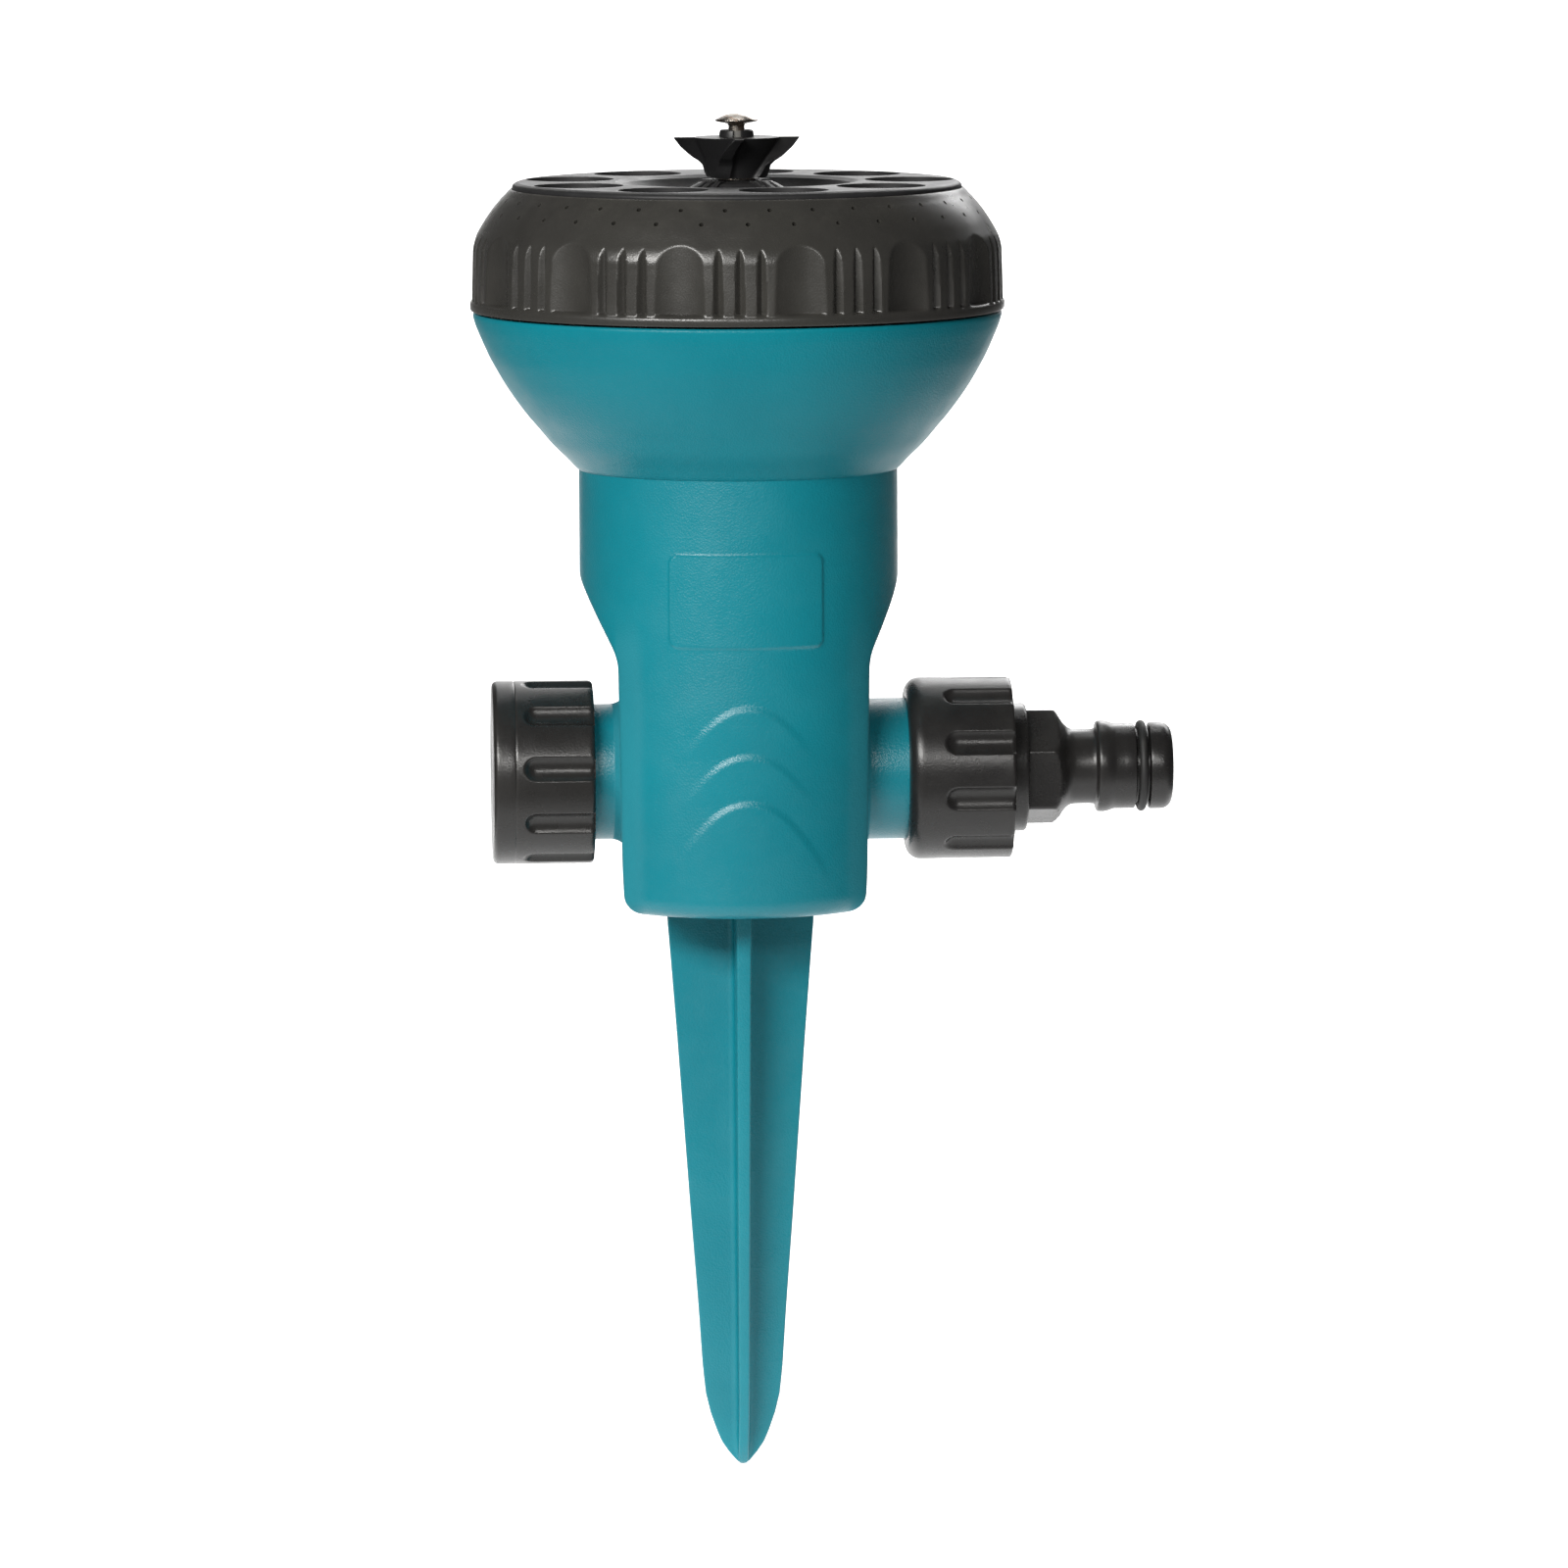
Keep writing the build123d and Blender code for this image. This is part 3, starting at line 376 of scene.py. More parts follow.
def piece(name, parts, body, node=None, material=None, sharp=40.0):
    """One shown piece from lists of vertices (mm) and faces."""
    bm = bmesh.new()
    for verts, faces in parts:
        vs = [bm.verts.new((v[0] * MM, v[1] * MM, v[2] * MM)) for v in verts]
        for f in faces:
            ids = []
            for i in f:
                if i not in ids:
                    ids.append(i)
            if len(ids) > 2:
                try:
                    bm.faces.new([vs[i] for i in ids])
                except ValueError:
                    pass
    bmesh.ops.remove_doubles(bm, verts=bm.verts[:], dist=1e-7)
    loose = [v for v in bm.verts if not v.link_faces]
    bmesh.ops.delete(bm, geom=loose, context="VERTS")
    bmesh.ops.recalc_face_normals(bm, faces=bm.faces[:])
    me = bpy.data.meshes.new(name)
    bm.to_mesh(me)
    bm.free()
    me.polygons.foreach_set("use_smooth", [True] * len(me.polygons))
    me.set_sharp_from_angle(angle=math.radians(sharp))
    ob = bpy.data.objects.new(name, me)
    scene.collection.objects.link(ob)
    ob.data.materials.append(material)
    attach(ob, body)
    if node:
        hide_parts(node)
    return ob


def turn(n, start=0.0):
    return [start + 2 * math.pi * i / n for i in range(n)]


# ------------------------------------------------------------------ housing
BOWL = np.array([(29.7, 81.3), (30.3, 81.75), (31.96, 83.5), (34.70, 86.2), (37.06, 89.0), (39.34, 91.7),
                 (41.43, 94.5), (43.24, 97.2), (44.88, 100.0), (46.33, 102.7), (47.95, 106.4), (48.68, 108.2),
                 (49.10, 109.6)])


def smooth_curve(pts, n):
    """A Catmull-Rom curve through the points."""
    P = [np.array(p, float) for p in pts]
    P = [2 * P[0] - P[1]] + P + [2 * P[-1] - P[-2]]
    out = []
    for i in range(1, len(P) - 2):
        a, b, c, d = P[i - 1], P[i], P[i + 1], P[i + 2]
        for k in range(n):
            t = k / n
            out.append(tuple(0.5 * ((2 * b) + (c - a) * t + (2 * a - 5 * b + 4 * c - d) * t * t
                                    + (3 * b - a - 3 * c + d) * t ** 3)))
    out.append(tuple(P[-2]))
    return out


def ledge_height(x, z):
    h = np.zeros_like(x)
    for z_peak in (39.7, 30.9, 22.2):
        u = np.abs(x - 0.2)
        edge = z_peak + 0.35 - 0.062 * u ** 2
        body = 0.46 * np.clip(1 - (z_peak - z) / (9.8 if z_peak > 25 else 17.0), 0, 1)
        side = smoothstep(17.4, 13.0, u)
        t = np.clip((edge - z) / (1.35 * np.sqrt(1 + (0.124 * u) ** 2)), 0, 1)
        h = np.maximum(h, body * (0.55 * t + 0.45 * t * t * (3 - 2 * t)) * side)
    return h


def pad_height(x, z):
    hx, hz, r = 14.1 - 1.5, 8.6 - 1.5, 1.5
    qx, qz = np.abs(x) - hx, np.abs(z - 59.0) - hz
    d = np.hypot(np.maximum(qx, 0), np.maximum(qz, 0)) + np.minimum(np.maximum(qx, qz), 0) - r
    return 0.34 * smoothstep(0.16, -0.20, d)


def side_limit(X, TH):
    """Radius of the two cut flats, which lean together a little towards the back."""
    c = np.maximum(np.abs(np.cos(TH)), 1e-6)
    y = np.clip(X * np.sin(TH) / c, -30, 30)
    return (X - 0.056 * np.clip(y + 19.0, 0, 40)) / c


def make_housing():
    # the profile runs up the outside; radius here is the plain cylinder or bowl
    prof = []
    for k in range(9):
        a = math.radians(90 * k / 8)
        prof.append((3.6 - 3.6 * math.cos(a), 29.7 - 3.6 + 3.6 * math.sin(a)))
    z = 4.0
    while z < 69.0:
        prof.append((z, 29.7))
        z += 0.32
    for z in np.linspace(69.4, 80.9, 12):
        prof.append((z, 29.7))
    for r, z in smooth_curve(BOWL, 5):
        prof.append((z, r))
    prof += [(110.0, 49.18), (110.35, 49.14), (110.55, 48.95), (110.6, 48.7)]
    outer = len(prof)
    inner = [(110.6, 46.5), (110.4, 46.25), (108.6, 45.9), (104.6, 44.4), (99.6, 41.9), (94.6, 38.6),
             (89.4, 34.0), (85.2, 29.4), (82.6, 26.8), (59.0, 26.8), (58.2, 26.3), (58.0, 25.5), (58.0, 12.5),
             (58.3, 11.8), (59.0, 11.5), (96.4, 11.5), (96.8, 11.3), (97.0, 11.0), (97.0, 8.8), (96.7, 8.5), (30.0, 8.5)]
    prof += inner
    th = []
    # finer columns across the front, where the ledges and the pad are
    front = -math.pi / 2
    for x in np.arange(-19.0, 19.01, 0.3):
        th.append(front + math.asin(x / 29.7))
    a0, a1 = th[-1], th[0] + 2 * math.pi
    n = 250
    th += [a0 + (a1 - a0) * i / n for i in range(1, n)]

    def shape(A, R, TH):
        X = np.where(A < 45.0, 22.35 + (A + 1) * 0.0208, 0)
        X = np.where(A < 9, 22.35 + (A + 1) * 0.045, 22.80 + (A - 9) * 0.01556)
        slope = 23.5 + (A - 47.7) * (6.25 / 11.5)
        X = -smin(-X, -slope, 1.2)
        inset = np.where(A < 3.6, 3.6 - np.sqrt(np.maximum(0, 3.6 ** 2 - (3.6 - np.minimum(A, 3.6)) ** 2)), 0)
        X = X - inset
        low = A < 66
        R2 = np.where(low, smin(R, side_limit(X, TH), 0.55), R)
        rows = np.arange(A.shape[0])[:, None]
        out = np.where(rows < outer, R2, R)
        x = R2 * np.cos(TH)
        is_front = (np.sin(TH) < 0) & (rows < outer) & (A > 3.6) & (A < 70)
        h = np.where(is_front, np.maximum(ledge_height(x, A), pad_height(x, A)), 0)
        return A, out + h

    body = turned(prof, th, "Z", shape)
    # underside: from the outer outline to the opening, up the inner wall, and its roof
    T = np.array(th)
    c, s = np.cos(T), np.sin(T)
    outline = smin(np.full_like(T, 26.1), side_limit(22.35 + 0.045 - 3.6, T), 0.55)
    hole = np.minimum(25.6, 18.4 / np.maximum(np.abs(c), 1e-6))
    rings = [(outline, 0.0), (hole + 0.25, 0.0), (hole, 0.25), (hole, 12.0), (hole * 0.2, 12.0)]
    verts, faces = [], []
    for rr, z in rings:
        verts += [(rr[j] * c[j], rr[j] * s[j], z) for j in range(len(T))]
    m = len(T)
    for i in range(len(rings) - 1):
        for j in range(m):
            j2 = (j + 1) % m
            faces.append((i * m + j, i * m + j2, (i + 1) * m + j2, (i + 1) * m + j))
    verts.append((0, 0, 12.0))
    for j in range(m):
        faces.append((len(verts) - 1, (len(rings) - 1) * m + j, (len(rings) - 1) * m + (j + 1) % m))
    under = (verts, faces)
    # stubs, with a small fillet where they leave the flats
    lp = [(-19.0, 12.65), (-20.6, 14.9), (-21.4, 14.0), (-22.2, 13.35), (-22.9, 12.95), (-23.6, 12.72), (-24.3, 12.65),
          (-31.0, 12.65)]
    x = -31.0
    while x - 1.814 > -40.4:
        lp += [(x - 0.25, 12.6), (x - 1.814 * 0.35, 13.18), (x - 1.814 * 0.55, 13.18), (x - 1.814 * 0.9, 12.6)]
        x -= 1.814
    lp += [(-40.4, 12.4), (-40.8, 12.0), (-40.8, 9.3), (-40.5, 9.0), (-12.0, 9.0)]
    left = turned(lp, turn(128), "X")
    rp = [(19.0, 13.2), (20.6, 15.4), (21.4, 14.5), (22.1, 13.95), (22.8, 13.5), (23.5, 13.28), (24.2, 13.2), (33.7, 13.2),
          (33.75, 13.85), (33.95, 13.9), (34.5, 13.9), (34.8, 13.8), (35.6, 13.0), (36.3, 12.95), (36.5, 12.7),
          (36.5, 9.3), (36.3, 9.0), (12.0, 9.0)]
    right_ = turned(rp, turn(128), "X")
    ob = piece("housing_shell", [body, under, left, right_], "housing", "housing", TEAL, 38)
    ob.data.materials.append(FLARE)             # the bowl is a little less glossy than the body
    for p in ob.data.polygons:
        if p.center.z > 0.0812:
            p.material_index = 1
    return ob


# -------------------------------------------------------------------- spike
def make_spike():
    half = [(13.9, -0.05), (13.7, -4.1), (13.24, -9.7), (11.97, -26.4), (10.79, -43.2), (9.6, -60.0),
            (8.32, -76.9), (7.59, -88.2), (7.03, -93.8), (6.11, -97.6), (4.81, -101.3), (3.98, -103.2),
            (2.69, -105.1), (1.35, -106.7), (0.55, -107.4)]
    zs = np.array([-0.05, -0.3] + list(np.linspace(-2, -94, 34)) + list(np.linspace(-95.2, -107.4, 22)))
    hz = np.array([p[1] for p in half][::-1])
    hr = np.array([p[0] for p in half][::-1])
    rings = []

    def section(w, t, ri, ro):
        """One quarter of the plus-shaped outline, repeated four times."""
        pts = []
        t = min(t, w * 0.98)
        q = []
        for k in range(7):                       # rounded outer corner of the +X fin
            a = math.radians(90 * k / 6)
            q.append((w - ro + ro * math.cos(a), t - ro + ro * math.sin(a)))
        inner = min(t + ri, w - ro)
        q.append(((w - ro) * 0.66 + inner * 0.34, t))
        q.append(((w - ro) * 0.33 + inner * 0.67, t))
        for k in range(7):                       # fillet between the fins
            a = math.radians(270 - 90 * k / 6)
            q.append((inner + ri * math.cos(a) * (inner - t) / ri if ri > 0 else inner,
                      inner + ri * math.sin(a) * (inner - t) / ri if ri > 0 else inner))
        q.append((t, (w - ro) * 0.33 + inner * 0.67))
        q.append((t, (w - ro) * 0.66 + inner * 0.34))
        for k in range(6):
            a = math.radians(90 * k / 6)
            q.append((t - ro + ro * math.cos(a), w - ro + ro * math.sin(a)))
        for r in range(4):
            ca, sa = (1, 0, -1, 0)[r], (0, 1, 0, -1)[r]
            pts += [(x * ca - y * sa, x * sa + y * ca) for x, y in q]
        return pts

    for z in zs:
        w = float(np.interp(z, hz, hr))
        t = 1.38 - 0.42 * min(1, max(0, -z / 100.0))
        if z < -0.2:
            ro = min(0.42, w * 0.3)
        else:
            ro = 0.42
            w -= 0.25
        tt = min(t, w * 0.9)
        ri = min(1.3, max(0.05, (w - tt) * 0.5))
        rings.append([(x, y, z) for x, y in section(w, tt, ri, min(ro, tt * 0.6))])
    m = len(rings[0])
    verts = [v for ring in rings for v in ring]
    faces = []
    for i in range(len(rings) - 1):
        for j in range(m):
            j2 = (j + 1) % m
            faces.append((i * m + j, i * m + j2, (i + 1) * m + j2, (i + 1) * m + j))
    verts.append((0, 0, -0.05))
    for j in range(m):
        faces.append((len(verts) - 1, (j + 1) % m, j))
    verts.append((0, 0, -107.58))
    k = (len(rings) - 1) * m
    for j in range(m):
        faces.append((len(verts) - 1, k + j, k + (j + 1) % m))
    return piece("spike_blade", [(verts, faces)], "housing", "ground_spike", TEAL, 50)


# ------------------------------------------------------------ collar and dial
def make_collar():
    outer = [(111.0, 49.2), (111.05, 49.55), (111.35, 49.70), (112.3, 49.72), (112.55, 49.62), (112.8, 49.48)]
    z = 113.0
    top = [(113.2, 49.48), (117.0, 49.40), (121.0, 49.27), (122.8, 49.17), (124.6, 48.62), (126.4, 47.61),
           (128.2, 46.51), (130.1, 45.14), (131.9, 43.59), (132.4, 43.0)]
    tz = [p[0] for p in top]
    tr = [p[1] for p in top]
    curve = smooth_curve(top, 12)
    cz, crr = [p[0] for p in curve], [p[1] for p in curve]
    while z < 126.2:
        outer.append((z, float(np.interp(z, cz, crr))))
        z += 0.22
    for z in np.linspace(126.4, 132.3, 15):
        outer.append((float(z), float(np.interp(z, cz, crr))))
    outer += [(132.75, 42.78), (133.2, 42.33), (133.42, 42.1), (133.5, 41.97), (133.46, 41.88), (133.3, 41.85),
              (132.5, 41.85), (132.45, 41.7), (132.45, 40.4), (132.3, 40.2), (130.8, 40.2), (130.2, 40.9),
              (129.6, 42.0), (127.4, 43.9), (124.2, 46.2), (121.0, 46.6), (116.3, 46.6), (116.0, 46.3),
              (115.9, 45.75), (113.0, 45.75), (112.9, 45.5), (112.9, 43.4), (112.7, 43.2), (111.2, 43.2), (111.0, 43.4)]
    n = 14 * 90
    th = turn(n, -math.pi / 2)
    step = math.radians(360 / 14)

    def wrap(d):
        return (d + step / 2) % step - step / 2

    def shape(A, R, TH):
        surf = R.copy()
        rr = 49.4
        grip = smoothstep(112.75, 113.25, A) * (R > 46.9) * (A < 127.5)
        g = surf
        for da in (-4.6, 0.0, 4.6):
            d = np.abs(wrap(TH - (-math.pi / 2 + math.radians(-2.3 + da)))) * rr
            g = smin(g, 48.15 + 1.30 * np.sqrt(d * d + 0.03), 0.12)
        d = wrap(TH - (-math.pi / 2 + math.radians(10.6))) * rr
        s = 56.85 - np.sqrt(np.maximum(0.01, 77.44 - np.minimum(d * d, 77.3)))
        g = smin(g, s, 0.14)
        return A, surf + (g - surf) * grip

    ring = turned(outer, th, "Z", shape, closed=True)
    ob = piece("grip_collar", [ring], "turning_head", "selector_collar", BLACK, 42)
    # spray holes: real holes in the shoulder
    verts, faces = [], []
    for n_a, z_h, r_h in ((-5.7, 131.75, 43.72), (-0.4, 129.3, 45.72)):
        for k in range(34):
            a = math.radians(-90 + n_a + 360 / 34 * k)
            d = Vector((math.cos(a) * 0.72, math.sin(a) * 0.72, 0.69)).normalized()
            p = Vector((r_h * math.cos(a), r_h * math.sin(a), z_h))
            u = d.cross(Vector((0, 0, 1))).normalized()
            w = d.cross(u)
            base = len(verts)
            seg = 14
            for off, rad in ((1.2, 0.50), (-0.02, 0.44), (-0.30, 0.37), (-6.0, 0.36)):
                for j in range(seg):
                    t = 2 * math.pi * j / seg
                    q = p + d * off + (u * math.cos(t) + w * math.sin(t)) * rad
                    verts.append(tuple(q))
            for i in range(3):
                for j in range(seg):
                    j2 = (j + 1) % seg
                    faces.append((base + i * seg + j, base + i * seg + j2, base + (i + 1) * seg + j2, base + (i + 1) * seg + j))
            faces.append(tuple(base + j for j in range(seg)))
            faces.append(tuple(base + 3 * seg + j for j in reversed(range(seg))))
    cut(ob, [(verts, faces)])
    return ob


def cut(ob, parts):
    """Takes the closed shapes away from the piece, and applies the result."""
    bm = bmesh.new()
    for verts, faces in parts:
        vs = [bm.verts.new((v[0] * MM, v[1] * MM, v[2] * MM)) for v in verts]
        for f in faces:
            bm.faces.new([vs[i] for i in f])
    bmesh.ops.recalc_face_normals(bm, faces=bm.faces[:])
    me = bpy.data.meshes.new("cutter")
    bm.to_mesh(me)
    bm.free()
    c = bpy.data.objects.new("cutter", me)
    scene.collection.objects.link(c)
    mod = ob.modifiers.new("cut", "BOOLEAN")
    mod.operation = "DIFFERENCE"
    mod.solver = "EXACT"
    mod.object = c
    dg = bpy.context.evaluated_depsgraph_get()
    new = bpy.data.meshes.new_from_object(ob.evaluated_get(dg))
    ob.modifiers.clear()
    old = ob.data
    ob.data = new
    new.name = old.name + "_cut"
    bpy.data.objects.remove(c)
    new.polygons.foreach_set("use_smooth", [True] * len(new.polygons))
    new.set_sharp_from_angle(angle=math.radians(40))
    return ob


# ------------------------------------------------------------- nut and cap
def flute_shape(r_knob, x_centre, side, phase, depth=1.2, width=4.5):
    rho = ((width / 2) ** 2 + depth ** 2) / (2 * depth)
    step = math.radians(36)

    def shape(A, R, TH):
        # TH turns about +X from +Y towards +Z; the front is -Y
        d = ((TH - phase + step / 2) % step - step / 2) * r_knob
        ax = np.maximum(0, (x_centre - A) * side)
        q2 = rho ** 2 - d * d - ax * ax
        q = np.where(q2 > 0, np.sqrt(np.maximum(q2, 0)), -np.sqrt(np.maximum(-q2, 0))) - (rho - depth)
        dep = 0.5 * (q + np.sqrt(q * q + 0.10 ** 2)) - 0.0006
        dep = np.where(q < -1.2, 0, dep)
        limit = np.where(R > r_knob - 1.0, 1.0, 0.0)
        return A, R - dep * limit * smoothstep(r_knob - 1.0, r_knob - 0.25, R)
    return shape


def make_nut():
    prof = [(31.0, 13.5), (31.0, 14.3)]
    for k in range(1, 10):
        a = math.radians(90 * k / 9)
        prof.append((33.65 - 2.65 * math.cos(a), 14.3 + 2.7 * math.sin(a)))
    x = 34.0
    while x < 50.1:
        prof.append((x, 17.0))
        x += 0.3
    prof += [(50.2, 17.0), (50.5, 16.9), (50.65, 16.65), (50.7, 16.4), (50.7, 13.8), (50.6, 13.5), (50.3, 13.32)]
    x = 49.6
    while x > 39.4:
        prof += [(x, 13.32), (x - 0.45, 13.75), (x - 0.75, 13.75), (x - 1.2, 13.32)]
        x -= 1.814
    prof += [(38.6, 13.32), (38.6, 14.3), (33.2, 14.3), (33.2, 13.5), (33.0, 13.32), (31.2, 13.32)]
    n = 720
    shape = flute_shape(17.0, 39.9, 1, math.radians(180 + 13.3))
    ring = turned(prof, turn(n), "X", shape, closed=True)
    return piece("swivel_nut", [ring], "inlet_nut", "inlet_nut", BLACK_SHADED_COPY, 42)


def make_cap():
    prof = [(-46.3, 0.0), (-46.3, 6.0), (-46.3, 12.0), (-46.3, 16.0)]
    for k in range(1, 7):
        a = math.radians(90 * k / 6)
        prof.append((-45.3 - 1.0 * math.cos(a), 16.1 + 1.0 * math.sin(a)))
    prof += [(-44.4, 17.1), (-43.4, 17.1), (-42.45, 17.1), (-42.34, 17.07), (-42.2, 17.01), (-42.06, 17.07), (-41.95, 17.1)]
    x = -41.7
    while x < -28.4:
        prof.append((x, 17.1))
        x += 0.3
    prof += [(-28.2, 17.08), (-27.85, 16.95), (-27.62, 16.7), (-27.5, 16.4), (-27.5, 13.9), (-27.6, 13.6), (-27.95, 13.35)]
    x = -28.8
    while x > -40.6:
        prof += [(x, 13.32), (x - 0.45, 13.8), (x - 0.75, 13.8), (x - 1.2, 13.32)]
        x -= 1.814
    prof += [(-43.2, 13.32), (-43.2, 6.0), (-43.2, 0.0)]
    shape = flute_shape(17.1, -38.4, 1, math.radians(180 - 8.6))
    ring = turned(prof, turn(720), "X", shape)
    return piece("blanking_cap", [ring], "outlet_cap", "outlet_cap", BLACK_SHADED_COPY, 42)


# --------------------------------------------------------------- hose adapter
def make_adapter():
    prof = [(38.8, 9.2), (38.8, 12.3), (39.0, 12.5)]
    x = 39.3
    while x + 1.814 < 48.6:
        prof += [(x, 12.62), (x + 0.63, 13.2), (x + 1.0, 13.2), (x + 1.63, 12.62)]
        x += 1.814
    prof += [(49.0, 12.62), (50.6, 12.62), (50.75, 12.45), (50.9, 12.3), (51.0, 12.05), (51.2, 12.0), (52.9, 12.0),
             (53.25, 11.93), (53.5, 11.7), (53.6, 11.35), (53.6, 11.2)]
    mark = len(prof)
    hexa = []
    for x in np.linspace(53.65, 58.4, 18):
        hexa.append((float(x), 11.1))
    for x, r in ((58.7, 11.0), (59.0, 10.75), (59.4, 10.2), (59.9, 9.4), (60.3, 8.75), (60.7, 8.2), (61.1, 7.75),
                 (61.6, 7.35), (62.1, 7.12), (62.7, 7.02)):
        hexa.append((x, r))
    prof += hexa
    end = len(prof)
    prof += [(64.0, 7.0), (65.6, 7.0), (66.3, 7.06), (66.6, 7.25), (66.72, 7.6), (66.8, 8.1), (66.95, 8.4),
             (67.2, 8.52), (67.6, 8.55), (68.3, 8.53), (68.8, 8.46), (69.4, 8.27), (69.9, 8.08), (70.3, 8.0),
             (72.0, 8.0), (73.7, 8.0), (73.95, 7.92), (74.05, 7.75), (74.1, 7.05), (74.2, 6.95), (76.5, 6.95),
             (76.6, 7.05), (76.66, 7.8), (76.78, 8.02), (77.0, 8.1), (78.9, 8.1)]
    for k in range(1, 10):
        a = math.radians(90 * k / 9)
        prof.append((78.95 + 2.05 * math.sin(a), 6.05 + 2.05 * math.cos(a)))
    prof += [(81.0, 5.5), (80.93, 5.2), (80.75, 5.03), (80.4, 5.0), (48.0, 5.0), (47.2, 5.2), (47.0, 8.6), (46.8, 9.0), (39.1, 9.0)]
    th0 = math.radians(180 + 38.5)

    def shape(A, R, TH):
        rows = np.arange(A.shape[0])[:, None]
        a = (TH - th0 + math.radians(30)) % math.radians(60) - math.radians(30)
        flat = 9.6 / np.cos(math.radians(30) - np.abs(a))
        flat = np.minimum(flat, 10.98)
        inside = (rows >= mark) & (rows < end)
        return A, np.where(inside, smin(R, flat, 0.22), R)
    body = turned(prof, turn(360), "X", shape, closed=True)
    return piece("quick_adapter", [body], "hose_adapter", "hose_adapter", BLACK_SHADED_COPY, 40)


def make_o_ring():
    n = 20
    prof = [(75.35 + 0.78 * math.cos(2 * math.pi * k / n), 7.73 + 0.80 * math.sin(2 * math.pi * k / n)) for k in range(n)]
    ring = turned(prof, turn(96), "X", closed=True)
    return piece("nose_o_ring", [ring], "hose_adapter", "adapter_o_ring", RUBBER, 60)


# -------------------------------------------------------------------- spinner
def make_spinner():
    tz = [135.5, 136.2, 137.0, 137.7, 138.4, 139.1, 140.0, 141.0, 142.1, 142.6, 142.85]
    tr = [5.6, 5.95, 6.15, 6.30, 7.1, 8.25, 9.30, 10.35, 11.2, 11.6, 11.7]
    zs = [135.4, 135.45, 135.6] + list(np.linspace(135.9, 142.6, 40)) + [142.75, 142.85]
    n = 720
    th = turn(n)

    def shape(A, R, TH):
        twist = np.interp(A, [135.4, 142.85], [math.radians(-33), 0.0])
        a = (TH - twist + math.pi / 4) % (math.pi / 2) - math.pi / 4
        tip = np.interp(A, tz, tr) - 0.12 * smoothstep(135.6, 135.4, A)
        half = np.interp(A, [135.4, 138.5, 142.85], [1.7, 1.35, 0.85])
        blade = half / np.maximum(np.abs(np.sin(a)), 1e-4)
        r = smin(blade, tip + 0 * a, 0.22)
        hub = np.interp(A, [135.4, 137.0, 139.0, 142.85], [4.9, 5.3, 6.0, 7.9])
        k = 1.7
        h = np.clip(0.5 + 0.5 * (r - hub) / k, 0, 1)
        r = hub + (r - hub) * h + k * h * (1 - h)
        return A, np.where(R > 5, r, R)
    prof = [(135.4, 2.32), (135.4, 2.6)] + [(float(z), 10.0) for z in zs] + [(142.9, 3.3), (142.9, 2.32)]
    body = turned(prof, th, "Z", shape, closed=True)
    parts = [body]
    # the two ears of the notched boss
    for side in (0, 1):
        a0 = math.radians(90 * 0 + 16 + 180 * side - 90)
        verts, faces = [], []
        seg = 26
        rows = [(142.7, 2.32, 3.25), (143.6, 2.32, 3.2), (144.05, 2.32, 3.08), (144.2, 2.42, 2.9)]
        for z, ri, ro in rows:
            for r in (ri, ro):
                for k in range(seg + 1):
                    t = a0 + math.radians(148) * k / seg
                    verts.append((r * math.cos(t), r * math.sin(t), z))
        m = seg + 1
        for i in range(len(rows) - 1):
            lo, hi = i * 2 * m, (i + 1) * 2 * m
            for k in range(seg):
                faces.append((lo + k, lo + k + 1, hi + k + 1, hi + k))
                faces.append((lo + m + k + 1, lo + m + k, hi + m + k, hi + m + k + 1))
            faces.append((lo, hi, hi + m, lo + m))
            faces.append((lo + seg, lo + m + seg, hi + m + seg, hi + seg))
        topi = (len(rows) - 1) * 2 * m
        for k in range(seg):
            faces.append((topi + k, topi + k + 1, topi + m + k + 1, topi + m + k))
            faces.append((k + 1, k, m + k, m + k + 1))
        parts.append((verts, faces))
    return piece("whirl", parts, "spinner", "spinner", SPIN, 35)


def make_pin():
    prof = [(122.05, 0.0), (122.05, 0.8), (122.05, 1.4), (122.15, 1.5), (130.0, 1.5), (140.0, 1.5), (144.85, 1.5),
            (145.1, 1.56), (145.28, 1.75), (145.42, 2.2), (145.55, 2.9), (145.68, 3.5), (145.78, 3.86), (145.88, 3.97),
            (145.98, 4.0), (146.07, 3.95), (146.2, 3.72), (146.42, 3.3), (146.66, 2.8), (146.88, 2.3), (147.06, 1.75),
            (147.19, 1.2), (147.27, 0.6), (147.3, 0.0)]
    body = turned(prof, turn(96), "Z")
    return piece("axle_pin", [body], "turning_head", "spinner_axle", STAINLESS, 60)


make_housing()
make_spike()
make_pin()
make_collar()
make_nut()
make_cap()
make_adapter()
make_o_ring()
make_spinner()


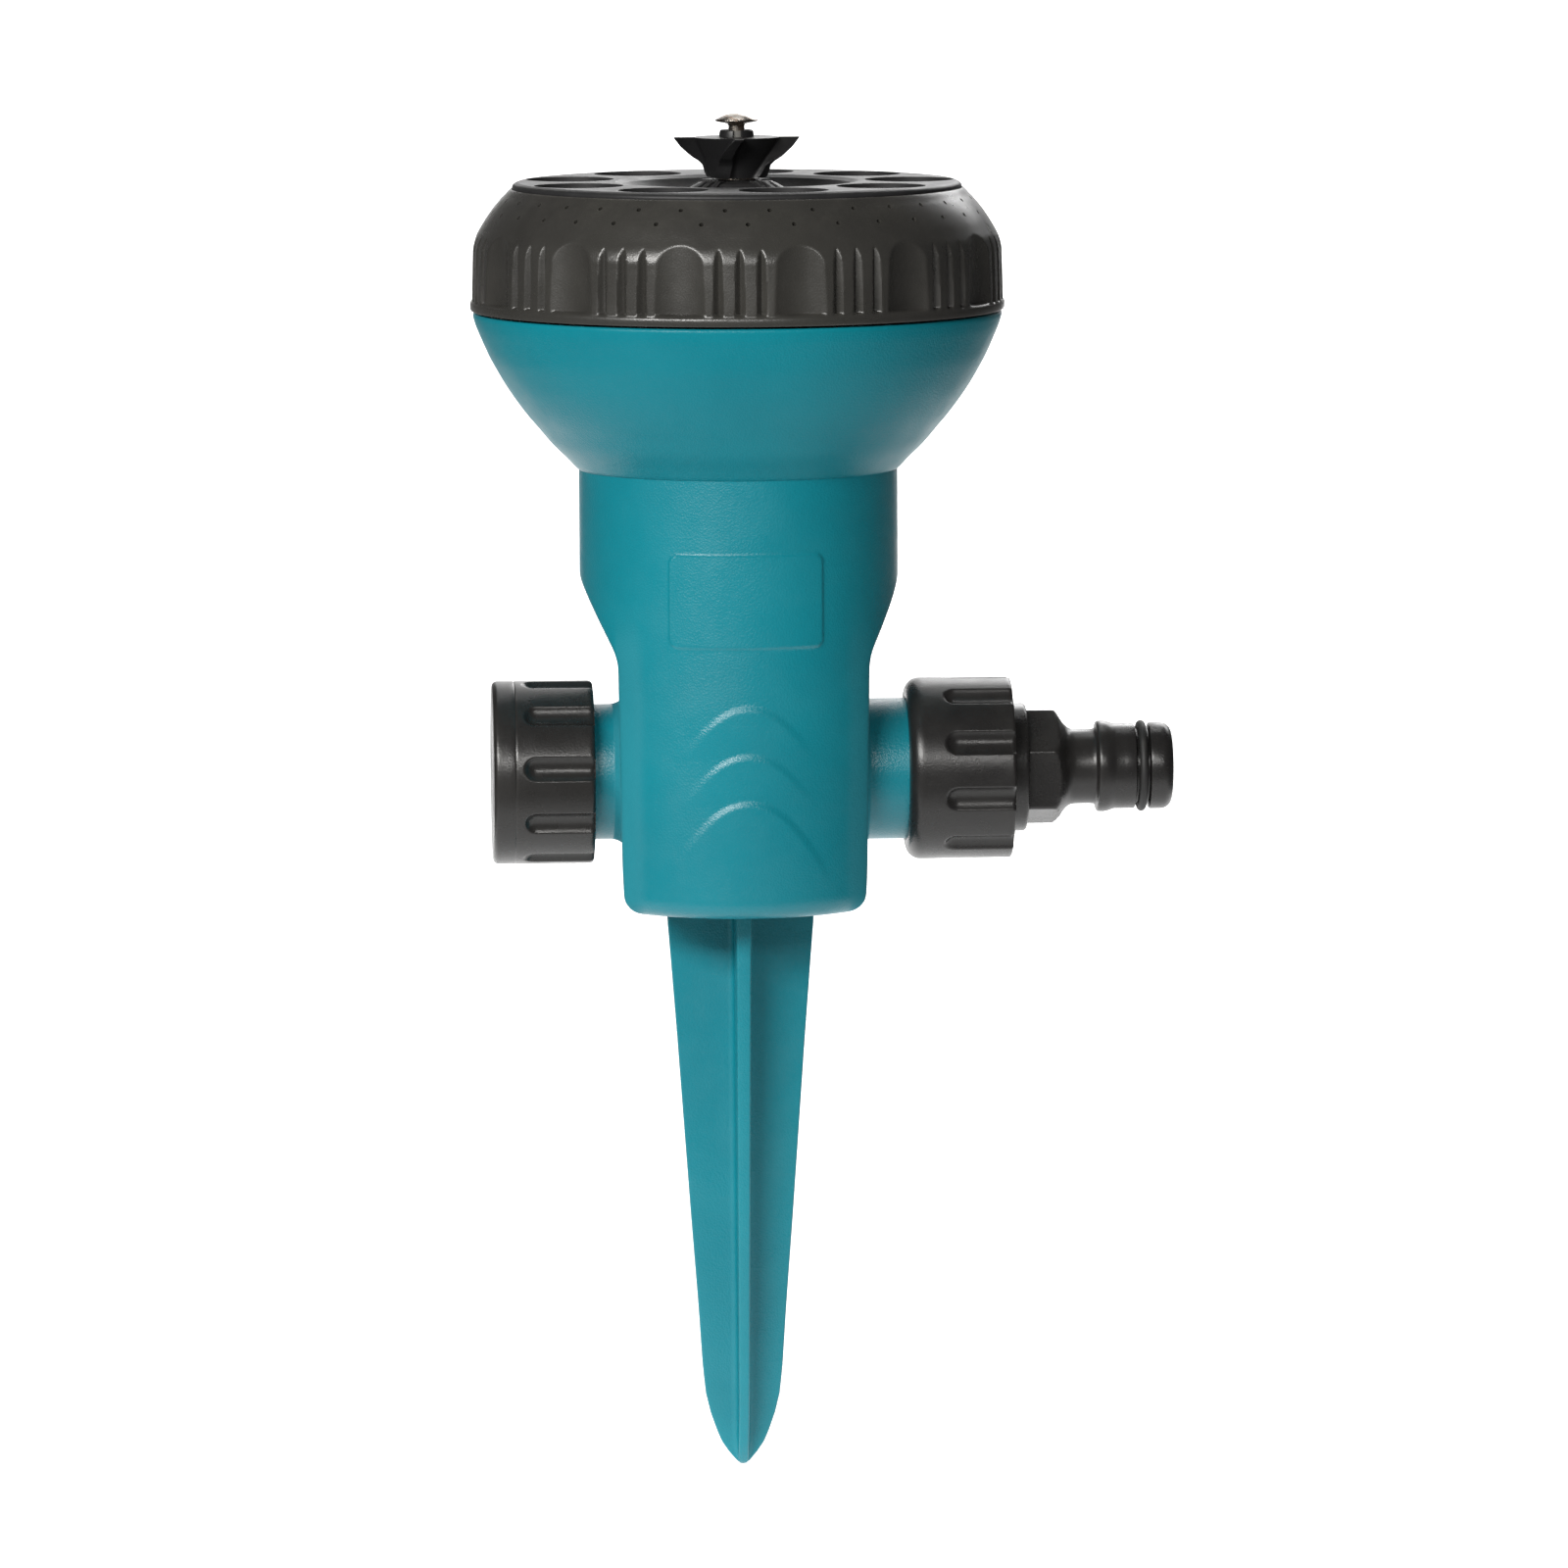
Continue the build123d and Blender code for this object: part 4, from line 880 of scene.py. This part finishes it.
# ---------------------------------------------------------------- floor, light
def stage_material():
    m, nt, bsdf = mat_new("stage_paper")
    n = Nodes(nt)
    co = n.coords()
    c = n.mix(n.ramp(n.noise(co, 6.0, 3.0), 0.3, 0.7), (0.86, 0.86, 0.86, 1), (0.84, 0.84, 0.845, 1))
    # painted pool of light: the paper is pale and glows where the object stands, and falls off to a painted grey shade
    # well outside it
    sep = n.new("ShaderNodeSeparateXYZ")
    n.link(co, sep.inputs["Vector"])
    # width grows to the back
    mid = n.math("SUBTRACT", sep.outputs["X"], n.math("ADD", n.math("MULTIPLY", sep.outputs["Y"], 0.056), 0.0085))
    wide = n.math("SUBTRACT", n.math("ABSOLUTE", mid), n.math("MULTIPLY", sep.outputs["Y"], 0.09))
    side = n.ramp(wide, 0.175, 0.34)
    near = n.ramp(n.math("MULTIPLY", sep.outputs["Y"], -1.0), 0.10, 0.30)
    off = n.math("MAXIMUM", side, near)
    c = n.mix(off, c, (0.20, 0.20, 0.20, 1))
    n.link(c, bsdf.inputs["Base Color"])
    # painted light: the floor glows, more towards the back, and camera rays see it glow everywhere
    bsdf.inputs["Emission Color"].default_value = (1.0, 1.0, 1.0, 1.0)
    glow = n.ramp(sep.outputs["Y"], -0.08, 0.12, 0.62, 0.90)
    ray = n.new("ShaderNodeLightPath")
    n.link(n.math("MAXIMUM", n.math("MULTIPLY", n.math("SUBTRACT", 1.0, off), glow),
                  n.math("MULTIPLY", ray.outputs["Is Camera Ray"], 0.62)), bsdf.inputs["Emission Strength"])
    bsdf.inputs["Roughness"].default_value = 0.9
    bsdf.inputs["Specular IOR Level"].default_value = 0.1
    return m


def make_stage():
    z0 = CAD_BOX[0][2] - 0.0004
    bm = bmesh.new()
    prof = [(-2.2, 0.0), (0.9, 0.0)]
    for i in range(1, 13):
        a = math.radians(90 * i / 12)
        prof.append((0.9 + 0.9 * math.sin(a), 0.9 - 0.9 * math.cos(a)))
    prof.append((1.8, 3.2))
    rows = []
    for x in np.linspace(-3.0, 3.0, 13):
        rows.append([bm.verts.new((x, y, z0 + z)) for y, z in prof])
    for i in range(len(rows) - 1):
        for j in range(len(prof) - 1):
            bm.faces.new((rows[i][j], rows[i + 1][j], rows[i + 1][j + 1], rows[i][j + 1]))
    me = bpy.data.meshes.new("stage_floor")
    bm.to_mesh(me)
    bm.free()
    me.polygons.foreach_set("use_smooth", [True] * len(me.polygons))
    ob = bpy.data.objects.new("stage_floor", me)
    scene.collection.objects.link(ob)
    ob.data.materials.append(stage_material())
    return ob


make_stage()


def area(name, loc, target, size, energy, color=(1, 1, 1)):
    d = bpy.data.lights.new(name, "AREA")
    d.shape = "RECTANGLE"
    d.size, d.size_y = size
    d.energy = energy
    d.color = color
    ob = bpy.data.objects.new(name, d)
    scene.collection.objects.link(ob)
    ob.location = loc
    v = Vector(target) - Vector(loc)
    ob.rotation_euler = v.to_track_quat("-Z", "Y").to_euler()
    return ob


MID = (0.01, 0, 0.03)
area("key", (-0.74, -1.15, 0.66), MID, (0.95, 0.28), 26.0, (1.0, 0.985, 0.96))
area("front", (0.04, -1.46, 0.55), MID, (0.30, 0.13), 4.0, (1.0, 0.985, 0.96))
area("back", (0.55, 1.30, 0.75), MID, (0.8, 0.5), 6.0)
area("sweep_wall", (0.0, 0.75, 1.5), (0.0, 1.9, 0.6), (0.9, 0.4), 10.0)

world = bpy.data.worlds.new("studio")
scene.world = world
world.use_nodes = True
bg = world.node_tree.nodes["Background"]
bg.inputs["Color"].default_value = (1.0, 1.0, 1.0, 1.0)
bg.inputs["Strength"].default_value = 0.09
wt = world.node_tree
seen = wt.nodes.new("ShaderNodeBackground")
seen.inputs["Color"].default_value = (1.0, 1.0, 1.0, 1.0)
seen.inputs["Strength"].default_value = 0.80
path = wt.nodes.new("ShaderNodeLightPath")
mixed = wt.nodes.new("ShaderNodeMixShader")
wt.links.new(path.outputs["Is Camera Ray"], mixed.inputs[0])
wt.links.new(bg.outputs[0], mixed.inputs[1])
wt.links.new(seen.outputs[0], mixed.inputs[2])
wt.links.new(mixed.outputs[0], [x for x in wt.nodes if x.type == "OUTPUT_WORLD"][0].inputs["Surface"])
scene.view_settings.view_transform = "Standard"
scene.view_settings.look = "None"
scene.view_settings.exposure = 0.0

# --------------------------------------------------------------------- camera
CAM = Vector((-83.20, -1636.74, 225.93)) * MM
AIM = Vector((8.28, -0.46, 21.80)) * MM
ROLL = 0.25
cam_data = bpy.data.cameras.new("camera")
cam_data.lens = 202.5
cam_data.sensor_width = 36.0
cam_data.clip_start = 0.05
cam_data.clip_end = 20.0
cam = bpy.data.objects.new("camera", cam_data)
scene.collection.objects.link(cam)
fwd = (AIM - CAM).normalized()
right = fwd.cross(Vector((0, 0, 1))).normalized()
up = right.cross(fwd)
cr, sr = math.cos(math.radians(ROLL)), math.sin(math.radians(ROLL))
r2 = right * cr - up * sr
u2 = right * sr + up * cr
cam.matrix_world = Matrix(((r2.x, u2.x, -fwd.x, CAM.x), (r2.y, u2.y, -fwd.y, CAM.y),
                           (r2.z, u2.z, -fwd.z, CAM.z), (0, 0, 0, 1)))
scene.camera = cam
